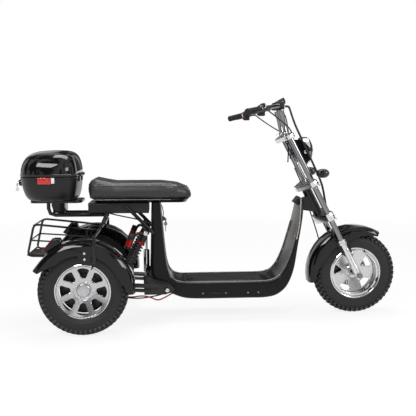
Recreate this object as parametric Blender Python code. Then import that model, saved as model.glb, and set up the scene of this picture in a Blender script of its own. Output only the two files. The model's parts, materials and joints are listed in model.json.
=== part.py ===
"""Electric tricycle: two driven rear wheels, one steered front wheel, long seat and top case.

The frame is metres, +X forward, +Y to the left, +Z up, with the floor at z = 0.
Every side-view place below is measured from the point on the floor under the rear axle.
The empty named vehicle carries all pieces and moves that point so that the world origin
lies under the middle of the whole length. Widths are halves, measured from the middle plane.
"""

import math

import bmesh
import bpy
from mathutils import Matrix, Vector

# Whole vehicle
REAR_AXLE_X = -0.645
GAP = 0.0003
OVERRUN = 0.020
SEGMENTS = 20
TUBE_SIDES = 8
ROUND_SIDES = 12

# Rear wheels
REAR_TYRE_RADIUS = 0.2195
REAR_TYRE_WIDTH = 0.115
REAR_RIM_RADIUS = 0.1335
REAR_RIM_WIDTH = 0.084
REAR_WHEEL_Y = 0.302
REAR_DISH = 0.036
REAR_WEB = 0.012
REAR_HUB_RADIUS = 0.056
REAR_CAP_RADIUS = 0.038
REAR_CAP_HEIGHT = 0.012
REAR_CAP_SHARE = 0.85
REAR_BOSS_RADIUS = 0.034
REAR_BOSS_LENGTH = 0.010
REAR_SPOKES = 8
REAR_WINDOW_INNER = 0.064
REAR_WINDOW_OUTER = 0.112
REAR_WINDOW_HALF = 0.026
REAR_WINDOW_ROUND = 0.017
REAR_WINDOW_PHASE_SHARE = 0.04

# Front wheel
FRONT_TYRE_RADIUS = 0.226
FRONT_TYRE_WIDTH = 0.100
FRONT_RIM_RADIUS = 0.139
FRONT_RIM_WIDTH = 0.092
FRONT_DISH = 0.072
FRONT_WEB = 0.010
FRONT_HUB_RADIUS = 0.040
FRONT_HUB_REACH = 0.030
FRONT_SPOKES = 5
FRONT_WINDOW_INNER = 0.056
FRONT_WINDOW_OUTER = 0.114
FRONT_WINDOW_HALF = 0.036
FRONT_WINDOW_ROUND = 0.013
FRONT_WINDOW_PHASE_SHARE = 0.57
DISC_RADIUS = 0.090
DISC_THICKNESS = 0.004
DISC_CARRIER_RADIUS = 0.056
DISC_STEP = 0.006

# Tyre lugs and rims
LUG_COUNT = 26
LUG_DEPTH = 0.009
RIM_WALL = 0.005
RIM_STEPS = 24
RIM_WELL = 0.010
WELL_DEPTH = 0.014
# Tyre rows: share of the wall height with a lug, share of the lug depth lost without one,
# share of the half width
TYRE_ROW_SHARES = ((0.40, 0.0, 1.0), (0.88, 0.6, 0.90), (1.0, 1.0, 0.50))
# One lug pitch: share of the pitch and whether the lug stands there
LUG_PITCH_SHARES = ((0.0, True), (0.52, True), (0.76, False))

# Rear mudguards
REAR_GUARD_CLEARANCE = 0.0325
REAR_GUARD_INNER_CLEARANCE = 0.0085
REAR_GUARD_OUTER_CLEARANCE = 0.0265
REAR_GUARD_SKIRT = 0.066
REAR_GUARD_INNER_SKIRT = 0.040
REAR_GUARD_START = -2.0
REAR_GUARD_END = 154.0
GUARD_WALL = 0.003
GUARD_STEPS = 14
GUARD_TAPER_SHARE = 0.14
GUARD_SHOULDER = 0.024
GUARD_SHOULDER_STEP = 0.007
GUARD_SHOULDER_SHARE = 0.86
GUARD_CROWN_SHARE = 0.52
GUARD_TAB_WIDTH = 0.060
GUARD_TAB_DROP = 0.100
GUARD_TAB_OVERLAP = 0.016
GUARD_TAB_LIFT = 0.001
GUARD_TAB_X = 0.018
GUARD_TAIL_LIFT = 0.006
GUARD_END_SKIRT = 0.030

# Tail lamps on the mudguards
TAIL_LAMP_START = 113.0
TAIL_LAMP_END = 131.0
TAIL_LAMP_HEIGHT = 0.042
TAIL_LAMP_WIDTH = 0.060
# Lamp corners above the mudguard: share of the angle, share of the height
TAIL_LAMP_SHARES = ((1.06, 0.64), (0.72, 1.0), (-0.08, 0.53))

# Hoop that carries the mudguards
HOOP_X = 0.063
HOOP_RISE = 0.0185
HOOP_RADIUS = 0.007
HOOP_STAY_LENGTH = 0.130
HOOP_STAY_WIDTH = 0.016
HOOP_STAY_THICKNESS = 0.0067
HOOP_STRUT_Y = 0.100
HOOP_STRUT_WIDTH = 0.012
HOOP_STRUT_LEAN = 0.036
HOOP_Z = REAR_TYRE_RADIUS + REAR_TYRE_RADIUS + REAR_GUARD_CLEARANCE + HOOP_RISE

# Axle housing with the motor and the drums
MOTOR_RADIUS = 0.086
MOTOR_Y = 0.095
AXLE_TUBE_RADIUS = 0.028
AXLE_NECK_Y = 0.112
AXLE_STUB_RADIUS = 0.020
DRUM_RADIUS = 0.078
DRUM_WIDTH = 0.042
DRUM_CLEARANCE = 0.008
DRUM_TAPER = 0.012
MOTOR_FLAT_SHARE = 0.80
MOTOR_DOME_SHARE = 0.70
AXLE_STEPS = 16

# Arms between the axle and the pivot below the column
ARM_Y = 0.150
ARM_PIVOT_Y = 0.140
ARM_RADIUS = 0.012
LOWER_ARM_RADIUS = 0.010
ARM_FRONT_X = 0.360
ARM_REAR_DROP = 0.0055
ARM_FRONT_DROP = 0.0265
LOWER_ARM_REAR_X = 0.0203
LOWER_ARM_REAR_DROP = 0.0295
LOWER_ARM_FRONT_DROP = 0.0515
GUSSET_REAR_X = 0.286
GUSSET_FRONT_X = 0.448
GUSSET_LOW_DROP = 0.0695
GUSSET_HEIGHT = 0.096
GUSSET_OUTER_Y = 0.145
GUSSET_SHARES = ((0.0, 1.0), (0.025, 0.0), (0.70, 0.0), (0.92, 0.12), (1.0, 0.31), (0.77, 0.68),
                 (0.40, 0.80), (0.20, 1.0))
ARM_CROSS_X = 0.300
ARM_CROSS_RISE = 0.0125
SHOCK_LUG_THICKNESS = 0.010
SHOCK_LUG_HALF = 0.018
SHOCK_LUG_SHARES = ((-1.0, -3.4), (1.0, -3.4), (0.55, 0.7), (-0.55, 0.7))

# Shocks: radii and shares of the way from the top eye to the lower one
SHOCK_Y = 0.168
SHOCK_TOP_X = 0.300
SHOCK_LOW_X = 0.190
SHOCK_LOW_RISE = 0.0425
SHOCK_EYE_RADIUS = 0.015
SHOCK_EYE_REACH = 0.016
SHOCK_BODY_RADIUS = 0.013
SHOCK_COLLAR_RADIUS = 0.0235
SHOCK_FOOT_RADIUS = 0.012
COLLAR_START_SHARE = 0.19
COLLAR_END_SHARE = 0.28
SPRING_SEAT_SHARE = 0.66
SPRING_SEAT_END_SHARE = 0.71
EYE_START_SHARE = 0.04
EYE_END_SHARE = 0.96
SHOCK_STEPS = 10
COIL_RADIUS = 0.0180
COIL_WIRE_RADIUS = 0.0040
COIL_TURNS = 5
COIL_STEPS = 8
COIL_SIDES = 4
COIL_SINK = 0.004
RESERVOIR_RADIUS = 0.017
RESERVOIR_TOP_X = 0.235
RESERVOIR_TOP_DROP = 0.006
RESERVOIR_LOW_X = 0.205
RESERVOIR_LENGTH_Z = 0.070
BRIDGE_RADIUS = 0.009
BRIDGE_SHARE = 0.16
BRIDGE_RESERVOIR_SHARE = 0.24
DAMPER_RADIUS = 0.016
DAMPER_ROD_RADIUS = 0.010
DAMPER_BODY_TOP_SHARE = 0.70
DAMPER_BODY_LOW_SHARE = 0.34

# Seat, its base and the box below it
SEAT_RISE = 0.137
SEAT_REAR_X = 0.004
SEAT_FRONT_X = 0.548
SEAT_BASE_HEIGHT = 0.021
SEAT_HEIGHT = 0.085
SEAT_HALF = 0.145
SEAT_KICK = 0.020
SEAT_NOSE_DROP = 0.060
# Cushion sections: share of the length, share of the half width, share of the height,
# share of the kick-up, share of the nose drop
SEAT_SECTION_SHARES = ((0.0, 0.80, 1.0, 0.20, 0.0), (0.02, 0.92, 1.0, 0.85, 0.0),
                       (0.07, 1.0, 1.0, 1.0, 0.0), (0.16, 1.0, 1.0, 0.45, 0.0),
                       (0.25, 0.98, 1.0, 0.0, 0.0), (0.70, 1.0, 1.0, 0.0, 0.0),
                       (0.86, 0.92, 1.0, 0.0, 0.17), (0.95, 0.76, 1.0, 0.0, 0.50),
                       (1.0, 0.55, 1.0, 0.0, 1.0))
# Cushion outline: share of the half width and share of the height
SEAT_OUTLINE_SHARES = ((0.88, 0.0), (0.98, 0.12), (1.0, 0.45), (0.95, 0.74), (0.80, 0.94), (0.50, 1.0))
SEAT_BASE_HALF = 0.118
SEAT_BASE_INSET = 0.018
SEAT_BASE_CORNER = 0.060
BOX_REAR_X = 0.006
BOX_FRONT_X = 0.317
BOX_HALF = 0.110
BOX_HEIGHT = 0.054
BOX_STRAP_X = 0.110
BOX_STRAP_WIDTH = 0.026
BOX_STRAP_DEPTH = 0.002
BOX_EDGE = 0.005
SEAT_BOTTOM_Z = HOOP_Z + SEAT_RISE
SEAT_TOP_Z = SEAT_BOTTOM_Z + SEAT_BASE_HEIGHT + SEAT_HEIGHT
BOX_BOTTOM_Z = SEAT_BOTTOM_Z - BOX_HEIGHT

# Struts below the seat
STRUT_RADIUS = 0.010
STRUT_Y = BOX_HALF + STRUT_RADIUS + GAP
STRUT_REAR_X = 0.200
STRUT_FRONT_X = 0.340
STRUT_TOP_DROP = 0.015
STRUT_FALL = 0.143
STRUT_CROSS_DROP = 0.151
STRUT_CROSS_HALF = 0.150
STRUT_CROSS_RADIUS = 0.011
STRUT_LUG_SHARES = ((-0.50, 1.35), (0.65, 0.175), (0.35, -0.35), (-0.35, -0.35))
STRUT_LUG_LENGTH = 0.040
STRUT_LUG_HALF = 0.005

# Rack under the top case
RACK_TRAY_HEIGHT = 0.0127
RACK_TRAY_REAR_X = -0.290
RACK_TRAY_FRONT_X = -0.030
RACK_TRAY_HALF = 0.100
RACK_TUBE_RADIUS = 0.010
RACK_TUBE_Y = 0.070
RACK_TUBE_REAR_X = -0.200
RACK_TUBE_FRONT_X = 0.110
RACK_TUBE_BEND = 0.045
RACK_CROSS_X = 0.060
RACK_CROSS_RADIUS = 0.009
RACK_PANEL_REAR_X = -0.180
RACK_PANEL_LENGTH = 0.060
RACK_PANEL_HALF = 0.058
RACK_TRAY_CORNER = 0.030
RACK_TRAY_Z = SEAT_BOTTOM_Z

# Top case
CASE_WALL = 0.004
CASE_REAR_X = -0.350
CASE_FRONT_X = -0.040
CASE_HALF = 0.205
CASE_BASE_HEIGHT = 0.125
CASE_LID_HEIGHT = 0.131
CASE_CORNER = 0.095
CASE_FRONT_CORNER = 0.045
CASE_LID_LIP = 0.002
CASE_BASE_Z = RACK_TRAY_Z + RACK_TRAY_HEIGHT + GAP
# Case rows: share of the height, share of the length lost at the rear, at the front,
# share of the half width, share of the corner
CASE_BASE_SHARES = ((0.0, 0.230, 0.060, 0.74, 0.72), (0.07, 0.150, 0.035, 0.82, 0.85),
                    (0.26, 0.075, 0.015, 0.92, 1.0), (1.0, 0.0, 0.0, 1.0, 1.0))
CASE_LID_SHARES = ((0.0, 0.0, 0.0, 1.0, 1.0), (0.27, 0.005, 0.012, 0.99, 1.0),
                   (0.63, 0.095, 0.045, 0.90, 1.0), (0.87, 0.250, 0.140, 0.70, 0.9),
                   (0.97, 0.370, 0.240, 0.50, 0.7), (1.0, 0.450, 0.320, 0.34, 0.5))
LATCH_RADIUS = 0.015
LATCH_REACH = 0.027
LATCH_DROP = 0.048
LATCH_SINK = 0.016
HINGE_REACH = 0.006
HINGE_RISE = 0.007
HINGE_LUG_RADIUS = 0.0075
HINGE_LUG_BACK = 0.0045
HINGE_LUG_RISE = 0.0015
HINGE_HALF = 0.060

# Basket: the rails leave the hoop, rise to the rear corner and come back below
BASKET_HALF = 0.120
BASKET_RAIL_RADIUS = 0.006
BASKET_WIRE_RADIUS = 0.0045
BASKET_FRONT_X = 0.030
BASKET_REAR_X = -0.267
BASKET_RISE = 0.032
BASKET_DEPTH = 0.163
BASKET_LEAN = 0.036
BASKET_BOTTOM_FRONT_X = -0.020
BASKET_BOTTOM_FALL = 0.007
BASKET_SLATS = 5
BASKET_SIDES = 6
WIRE_SIDES = 5
BASKET_BEND = 0.020
BASKET_POST_X = 0.000
BASKET_MID_SHARE = 0.50

# Floor, column and leg shield
FLOOR_REAR_X = 0.470
FLOOR_FRONT_X = 0.930
FLOOR_HALF = 0.130
FLOOR_DROP = 0.0145
FLOOR_LIP = 0.036
FLOOR_TUB = 0.053
TUB_HALF = 0.116
TUB_BOTTOM_HALF = 0.104
TUB_TOP_X = 0.474
TUB_REAR_X = 0.509
TUB_OVERLAP = 0.006
FLOOR_EDGE = 0.006
MAT_MARGIN = 0.025
MAT_FRONT_MARGIN = 0.015
MAT_REAR_MARGIN = 0.030
MAT_THICKNESS = 0.0067
MAT_RIBS = 7
MAT_RIB_DEPTH = 0.003
MAT_RIB_SHARE = 0.60
COLUMN_HALF = 0.110
COLUMN_EDGE = 0.008
COLUMN_GROOVE = 0.005
# Rings of the column: inset from the half width as a name below, and share from front to rear
COLUMN_RING_SHARES = ((0.00, "edge"), (0.10, "side"), (0.22, "side"), (0.28, "groove"),
                      (0.72, "groove"), (0.78, "side"), (0.92, "side"), (1.00, "edge"))
# Column sections from the seat down to the floor: front and rear points, as shares of the reach
# from the column's rear edge to the floor and of the height from the tub's bottom to the seat
COLUMN_REAR_X = 0.318
COLUMN_SHARES = (((0.382, 1.0), (0.079, 1.0)), ((0.442, 0.752), (0.059, 0.752)),
                 ((0.527, 0.478), (0.030, 0.478)), ((0.620, 0.286), (0.026, 0.286)),
                 ((0.705, 0.227), (0.145, 0.2075)), ((0.817, 0.194), (0.376, 0.145)),
                 ((1.0, 0.178), (1.0, 0.100)))
SHIELD_HALF = 0.122
SHIELD_TOP_RISE = 0.055
SHIELD_HEAD_REACH = 0.035
SHIELD_GROOVE_SHARE = 0.35
SHIELD_GROOVE_HALF_SHARE = 0.78
# Shield sections from the floor up to the head: front and rear points, as shares of the reach
# from the floor to the head and of the height from the tub's bottom, then the half width's share
SHIELD_SHARES = (((0.0, 0.0), (0.0, 0.165), 0.96), ((0.24, 0.020), (0.14, 0.172), 0.99),
                 ((0.44, 0.070), (0.30, 0.212), 1.0), ((0.60, 0.150), (0.46, 0.290), 1.0),
                 ((0.70, 0.270), (0.61, 0.420), 0.99), ((0.79, 0.470), (0.74, 0.600), 0.96),
                 ((0.87, 0.690), (0.815, 0.720), 0.88), ((0.945, 0.850), (0.865, 0.850), 0.70),
                 ((0.990, 0.965), (0.890, 0.985), 0.44))
# Ring of the shield: share of the half width and share from the front face to the rear edge
SHIELD_RING_SHARES = ((0.45, 0.0), (0.85, 0.10), (1.0, 0.40), (1.0, 1.0), (0.87, 1.0))
RELAY_HALF = 0.035
RELAY_REACH = 0.033
RELAY_TOP_REACH = 0.010
RELAY_TOP_RISE = 0.006
RELAY_LOW_SHARE = 0.30
RELAY_MIDDLE_SHARE = 0.62
FLOOR_TOP_Z = REAR_TYRE_RADIUS - FLOOR_DROP
TUB_BOTTOM_Z = FLOOR_TOP_Z - FLOOR_LIP - FLOOR_TUB

# Steering: the axis leans by the rake through the head point
RAKE = math.radians(27.5)
HEAD_X = 1.2125
HEAD_Z = 0.600
STEERING_OFFSET = 0.030
FORK_LEG_Y = 0.092
UPPER_CLAMP_Z = 0.955
MIDDLE_CROWN_Z = 0.706
LOWER_CROWN_Z = 0.530
SHIELD_TOP_Z = HEAD_Z + SHIELD_TOP_RISE

# Fork
STANCHION_RADIUS = 0.0150
SLIDER_RADIUS = 0.0158
LEG_COLLAR_RADIUS = 0.0225
LEG_COLLAR_LENGTH = 0.026
LEG_COLLAR_RISE = 0.204
LEG_LUG_RADIUS = 0.0190
LEG_LUG_RISE = 0.062
LEG_LUG_FALL = 0.026
LEG_TOP_REACH = 0.020
LEG_END_SHARE = 0.63
LEG_SIDES = 16
CLAMP_WALL = 0.011
UPPER_CLAMP_THICKNESS = 0.022
MIDDLE_CROWN_THICKNESS = 0.028
LOWER_CROWN_THICKNESS = 0.040
UPPER_CLAMP_REACH = 0.028
MIDDLE_CROWN_REACH = 0.050
LOWER_CROWN_REACH = 0.034
STEM_HALF = 0.026
STEM_RADIUS = 0.011
HEAD_RADIUS = 0.024
HEAD_BORE_CLEARANCE = 0.0015
HEAD_WEB_HALF = 0.020
HEAD_WEB_DROP = 0.040
AXLE_RADIUS = 0.012
AXLE_NUT_RADIUS = 0.017
AXLE_NUT_HEIGHT = 0.012
AXLE_TIP = 0.004

# Front mudguard
FRONT_GUARD_CLEARANCE = 0.036
FRONT_GUARD_HALF = 0.067
FRONT_GUARD_SKIRT = 0.074
FRONT_GUARD_START = 61.0
FRONT_GUARD_END = 191.0
FRONT_GUARD_TAPER_SHARE = 0.30
GUARD_BRACKET_RISE = 0.168
GUARD_BRACKET_RADIUS = 0.009
GUARD_LOBE_HALF = 0.036
GUARD_LOBE_LOW_HALF = 0.024
GUARD_LOBE_AHEAD = 0.006
GUARD_LOBE_TOP = 0.215
GUARD_LOBE_LOW = 0.118
GUARD_LOBE_LIFT = 0.001

# Handlebar: places are measured from the steering axis at the upper clamp, then from the bar's middle
BAR_RADIUS = 0.011
BAR_BEND = 0.030
BAR_BACK = 0.0157
BAR_RISE = 0.175
BAR_CENTRE_HALF = 0.060
BAR_SWEEP_BACK = 0.052
BAR_SWEEP_FALL = 0.010
BAR_SWEEP_HALF = 0.150
BAR_END_BACK = 0.144
BAR_END_FALL = 0.032
BAR_END_HALF = 0.268
RISER_Y = 0.045
RISER_RADIUS = 0.013
RISER_FOOT = 0.030
DISPLAY_BACK = 0.027
DISPLAY_LENGTH = 0.060
DISPLAY_HALF = 0.035
DISPLAY_FALL = 0.012
DISPLAY_HEIGHT = 0.060
DISPLAY_SHARES = ((0.0, 0.0), (1.0, 0.0), (1.0, 0.55), (0.92, 1.0), (0.62, 0.93), (0.0, 0.36))
GRIP_RADIUS = 0.017
GRIP_BACK = 0.222
GRIP_FALL = 0.0505
GRIP_HALF = 0.368
GRIP_FLANGE_RADIUS = 0.022
GRIP_FLANGE = 0.006
POD_RADIUS = 0.019
POD_START_SHARE = 0.66
POD_END_SHARE = 0.95
SWITCH_RADIUS = 0.014
SWITCH_LENGTH = 0.030
LEVER_RADIUS = 0.005
LEVER_AHEAD = 0.042
LEVER_DROP = 0.022
LEVER_BACK = 0.055
LEVER_REACH = 0.085
LEVER_OUT = 0.020
LEVER_SHARE = 0.80

# Lamps at the front
LAMP_Z = 0.893
LAMP_REACH = 0.0662
LAMP_RADIUS = 0.072
LAMP_DEPTH = 0.038
LAMP_DOME = 0.040
LAMP_BAR_RADIUS = 0.008
LAMP_BAR_BACK = 0.010
LAMP_PLATE_HALF = 0.004
LAMP_PLATE_HEIGHT = 0.082
LAMP_PLATE_REACH = 0.052
LAMP_SIDES = 20
# Plate corners: share of the height along the fork leg, share of the reach ahead of it
LAMP_PLATE_SHARES = ((0.71, 0.0), (-1.0, 0.0), (-0.88, 0.56), (-0.135, 1.0), (0.46, 0.73))
# Lamp profile: share of the radius, share of the depth back
LAMP_BACK_SHARES = ((0.0, 1.0), (0.62, 0.85), (0.92, 0.40), (1.0, 0.05))
LAMP_FRONT_SHARES = ((1.0, 0.30), (0.88, 0.52), (0.55, 0.86), (0.0, 1.0))
SIGNAL_REACH = 0.070
SIGNAL_Z = 0.777
SIGNAL_Y = 0.135
SIGNAL_RADIUS = 0.024
SIGNAL_LENGTH = 0.066
SIGNAL_SHARES = ((0.0, -0.45), (0.62, -0.36), (1.0, -0.06), (0.98, 0.14), (0.60, 0.45), (0.0, 0.55))
SIGNAL_STEM_RADIUS = 0.006
SIGNAL_STEM_DROP = 0.015
SIGNAL_STEM_Y = 0.125
SIGNAL_STEM_BACK = 0.020

# Cables: the route's own points between their tied ends
LOOM_RADIUS = 0.006
LOOM_SIDES = 6
LOOM_BEND = 0.040
LOOM_Y = 0.045
LOOM_AHEAD = 0.045
LOOM_LEAD = 0.020
LOOM_ROUTE = ((1.083, -0.085, 1.030), (1.115, -0.110, 0.955), (1.190, -0.110, 0.800),
              (1.240, -0.070, 0.713))
LEAD_RADIUS = 0.003
LEAD_SIDES = 6
LEAD_BEND = 0.030
LEAD_START_Y = 0.060
LEAD_START_ANGLE = -45.0
LEAD_RISE = 0.018
LEAD_ROUTE = ((0.130, -0.080, 0.140), (0.211, -0.100, 0.136), (0.288, -0.100, 0.136),
              (0.340, -0.100, 0.149), (0.378, -0.100, 0.110), (0.440, -0.100, 0.134))


def material(name, colour, roughness, metallic):
    """Return a Principled material."""
    result = bpy.data.materials.new(name)
    result.use_nodes = True
    shader = result.node_tree.nodes["Principled BSDF"]
    shader.inputs["Base Color"].default_value = (*colour, 1.0)
    shader.inputs["Roughness"].default_value = roughness
    shader.inputs["Metallic"].default_value = metallic
    return result


def clear_scene():
    """Remove whatever the file opened with."""
    for item in list(bpy.data.objects):
        bpy.data.objects.remove(item, do_unlink=True)


def side(x, z, y=0.0):
    """Return the point x ahead of the rear axle, y to the left and z above the floor."""
    return Vector((x, y, z))


def spread(shares, low, high):
    """Return outline points from their shares of the way between two opposite corners."""
    return [(low[0] + across * (high[0] - low[0]), low[1] + up * (high[1] - low[1]))
            for across, up in shares]


def finished(bm):
    """Turn a bmesh into a mesh with outward faces."""
    bmesh.ops.recalc_face_normals(bm, faces=bm.faces)
    mesh = bpy.data.meshes.new("shape")
    bm.to_mesh(mesh)
    bm.free()
    return mesh


def ring_faces(bm, rings, closed):
    """Join equal rings of vertices, each to the next, and the last to the first if closed."""
    pairs = list(zip(rings, rings[1:]))
    if closed:
        pairs.append((rings[-1], rings[0]))
    for low, high in pairs:
        count = len(low)
        for index in range(count):
            after = (index + 1) % count
            bm.faces.new((low[index], low[after], high[after], high[index]))


def loft(sections):
    """Return a closed body through equal rings of points, capped at both ends."""
    bm = bmesh.new()
    rings = [[bm.verts.new(point) for point in section] for section in sections]
    ring_faces(bm, rings, False)
    bm.faces.new(rings[0])
    bm.faces.new(rings[-1])
    return finished(bm)


def spun(profile, closed, steps):
    """Spin an outline of (radius, across) round the Y axis."""
    bm = bmesh.new()
    points = [bm.verts.new((radius, across, 0.0)) for radius, across in profile]
    edges = [bm.edges.new(pair) for pair in zip(points, points[1:])]
    if closed:
        edges.append(bm.edges.new((points[-1], points[0])))
    bmesh.ops.spin(bm, geom=points + edges, axis=(0, 1, 0), cent=(0, 0, 0),
                   angle=math.tau, steps=steps, use_merge=True)
    bmesh.ops.remove_doubles(bm, verts=bm.verts, dist=GAP / 100)
    return finished(bm)


def revolved(profile, steps=SEGMENTS):
    """Return the ring that a closed outline of (radius, across) makes round the Y axis."""
    return spun(profile, True, steps)


def turned(profile, steps=SEGMENTS):
    """Return the solid that an open outline makes, with both its ends at radius zero."""
    return spun(profile, False, steps)


def plate(outline, low_y, high_y):
    """Extrude a side-view outline of (x, z) between two planes across the vehicle."""
    return loft([[side(x, z, low_y) for x, z in outline], [side(x, z, high_y) for x, z in outline]])


def side_plate(outline, inner_y, outer_y, sign):
    """Extrude a side-view outline between two distances from the middle, on one side."""
    low_y, high_y = sorted((sign * inner_y, sign * outer_y))
    return plate(outline, low_y, high_y)


def block(low, high):
    """Return the box between two opposite corners."""
    outline = [(low[0], low[2]), (high[0], low[2]), (high[0], high[2]), (low[0], high[2])]
    return plate(outline, low[1], high[1])


def miters(points, closed):
    """Return for each point of an outline the way to its left at unit distance from both edges."""
    points = [Vector(point) for point in points]
    count = len(points)
    edges = [points[(index + 1) % count] - points[index] for index in range(count)]
    lefts = [Vector((-edge.y, edge.x)).normalized() for edge in edges]
    if not closed:
        lefts[-1] = lefts[-2]
    ways = []
    for index in range(count):
        before = lefts[index - 1] if closed or index else lefts[0]
        after = lefts[index]
        ways.append((before + after) / (1 + before.dot(after)))
    return ways


def inset(outline, depth):
    """Return a closed outline pulled inward by a depth."""
    after = outline[1:] + outline[:1]
    area = sum(one[0] * two[1] - two[0] * one[1] for one, two in zip(outline, after))
    inward = math.copysign(depth, area)
    return [(point[0] + way.x * inward, point[1] + way.y * inward)
            for point, way in zip(outline, miters(outline, True))]


def thickened(points, wall):
    """Return the closed ring of an open outline given a wall on its left side."""
    inner = [(point[0] + way.x * wall, point[1] + way.y * wall)
             for point, way in zip(points, miters(points, False))]
    return list(points) + inner[::-1]


def slab(outline, half, edge):
    """Return a side-view outline as a body across the vehicle with chamfered side edges."""
    small = inset(outline, edge)
    levels = [(small, -half), (outline, edge - half), (outline, half - edge), (small, half)]
    return loft([[side(x, z, y) for x, z in ring] for ring, y in levels])


def arc(centre, radius, start, end, steps):
    """Return points on a circular arc; the angles are in degrees."""
    angles = [math.radians(start + (end - start) * step / steps) for step in range(steps + 1)]
    return [(centre[0] + radius * math.cos(angle), centre[1] + radius * math.sin(angle))
            for angle in angles]


def rounded_path(points, bend, steps=2):
    """Round the corners of a path of 3D points with a quadratic curve of reach bend."""
    points = [Vector(point) for point in points]
    path = [points[0]]
    for before, corner, after in zip(points, points[1:], points[2:]):
        reach = min(bend, (before - corner).length / 2, (after - corner).length / 2)
        start = corner + (before - corner).normalized() * reach
        end = corner + (after - corner).normalized() * reach
        for step in range(steps + 1):
            share = step / steps
            path.append(start.lerp(corner, share).lerp(corner.lerp(end, share), share))
    path.append(points[-1])
    return path


def tube(points, radius, bend=0.0, sides=TUBE_SIDES, steps=2):
    """Sweep a circle along a path of 3D points."""
    path = rounded_path(points, bend, steps) if bend else [Vector(point) for point in points]
    directions = []
    for index in range(len(path)):
        before = path[max(index - 1, 0)]
        after = path[min(index + 1, len(path) - 1)]
        directions.append((after - before).normalized())
    across = directions[0].orthogonal().normalized()
    sections = []
    for place, direction in zip(path, directions):
        across = (across - direction * across.dot(direction)).normalized()
        other = direction.cross(across)
        turns = [math.tau * step / sides for step in range(sides)]
        sections.append([place + (across * math.cos(turn) + other * math.sin(turn)) * radius
                         for turn in turns])
    return loft(sections)


def rod(start, end, radius, sides=TUBE_SIDES):
    """Return a straight round bar between two points."""
    return tube([start, end], radius, 0.0, sides)


def aimed(mesh, start, end):
    """Turn a mesh that runs along +Y so that it runs from one point toward another."""
    way = Vector(end) - Vector(start)
    turn = Vector((0.0, 1.0, 0.0)).rotation_difference(way).to_matrix().to_4x4()
    return moved(mesh, Matrix.Translation(start) @ turn)


def temporary(mesh):
    """Return a throwaway object that holds a mesh."""
    holder = bpy.data.objects.new("temporary", mesh)
    bpy.context.scene.collection.objects.link(holder)
    return holder


def combined(base, others, operation):
    """Apply one Boolean after another to a mesh and return the result."""
    for other in others:
        holder = temporary(base)
        tool = temporary(other)
        change = holder.modifiers.new("change", "BOOLEAN")
        change.operation = operation
        change.solver = "EXACT"
        change.object = tool
        graph = bpy.context.evaluated_depsgraph_get()
        base = bpy.data.meshes.new_from_object(holder.evaluated_get(graph))
        bpy.data.objects.remove(holder, do_unlink=True)
        bpy.data.objects.remove(tool, do_unlink=True)
    return base


def fused(meshes):
    """Join overlapping bodies into one."""
    return combined(meshes[0], meshes[1:], "UNION")


def cut(base, cutters):
    """Take cutters away from a body."""
    return combined(base, cutters, "DIFFERENCE")


def moved(mesh, matrix):
    """Transform a mesh in place."""
    mesh.transform(matrix)
    if matrix.determinant() < 0:
        mesh.flip_normals()
    return mesh


def mirrored(mesh):
    """Return a copy of a mesh on the other side of the vehicle."""
    return moved(mesh.copy(), Matrix.Scale(-1.0, 4, (0, 1, 0)))


def add_piece(name, mesh, look, parent, place=(0.0, 0.0, 0.0), turn=(0.0, 0.0, 0.0)):
    """Put a mesh in the scene as a named piece."""
    piece = bpy.data.objects.new(name, mesh)
    bpy.context.scene.collection.objects.link(piece)
    mesh.materials.clear()
    mesh.materials.append(look)
    mesh.shade_smooth()
    mesh.set_sharp_from_angle(angle=math.radians(35))
    piece.parent = parent
    piece.location = place
    piece.rotation_euler = turn
    return piece


def add_empty(name, parent, place, turn=(0.0, 0.0, 0.0)):
    """Put an empty in the scene that other pieces hang on."""
    empty = bpy.data.objects.new(name, None)
    bpy.context.scene.collection.objects.link(empty)
    empty.parent = parent
    empty.location = place
    empty.rotation_euler = turn
    return empty


def tyre_mesh(radius, width, rim_radius, rim_width):
    """Return a tyre with shoulder lugs, as rings of a cross-section round the axle."""
    inner = rim_radius + GAP
    wall = radius - inner
    # Each row: radius with a lug, radius without one, place across
    rows = [(inner, inner, -rim_width / 2 - GAP)]
    for height, loss, across in TYRE_ROW_SHARES:
        high = inner + height * wall
        rows.append((high, high - loss * LUG_DEPTH, -across * width / 2))
    rows += [(high, low, -across) for high, low, across in reversed(rows)]
    bm = bmesh.new()
    rings = []
    for lug in range(LUG_COUNT):
        for share, raised in LUG_PITCH_SHARES:
            turn = math.tau * (lug + share) / LUG_COUNT
            ring = []
            for high, low, across in rows:
                reach = high if raised else low
                ring.append(bm.verts.new((reach * math.cos(turn), across, reach * math.sin(turn))))
            rings.append(ring)
    ring_faces(bm, rings, True)
    return finished(bm)


def wheel_windows(outline, low_y, high_y, count, start):
    """Return the cutters of a rim's windows, turned round the axle."""
    return [moved(plate(outline, low_y, high_y),
                  Matrix.Rotation(math.tau * (window + start) / count, 4, "Y"))
            for window in range(count)]


def rear_boss_back():
    """Return how far the rear rim's boss reaches inward from the middle of its width."""
    return REAR_DISH - REAR_RIM_WIDTH / 2 + REAR_WEB + REAR_BOSS_LENGTH


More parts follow.
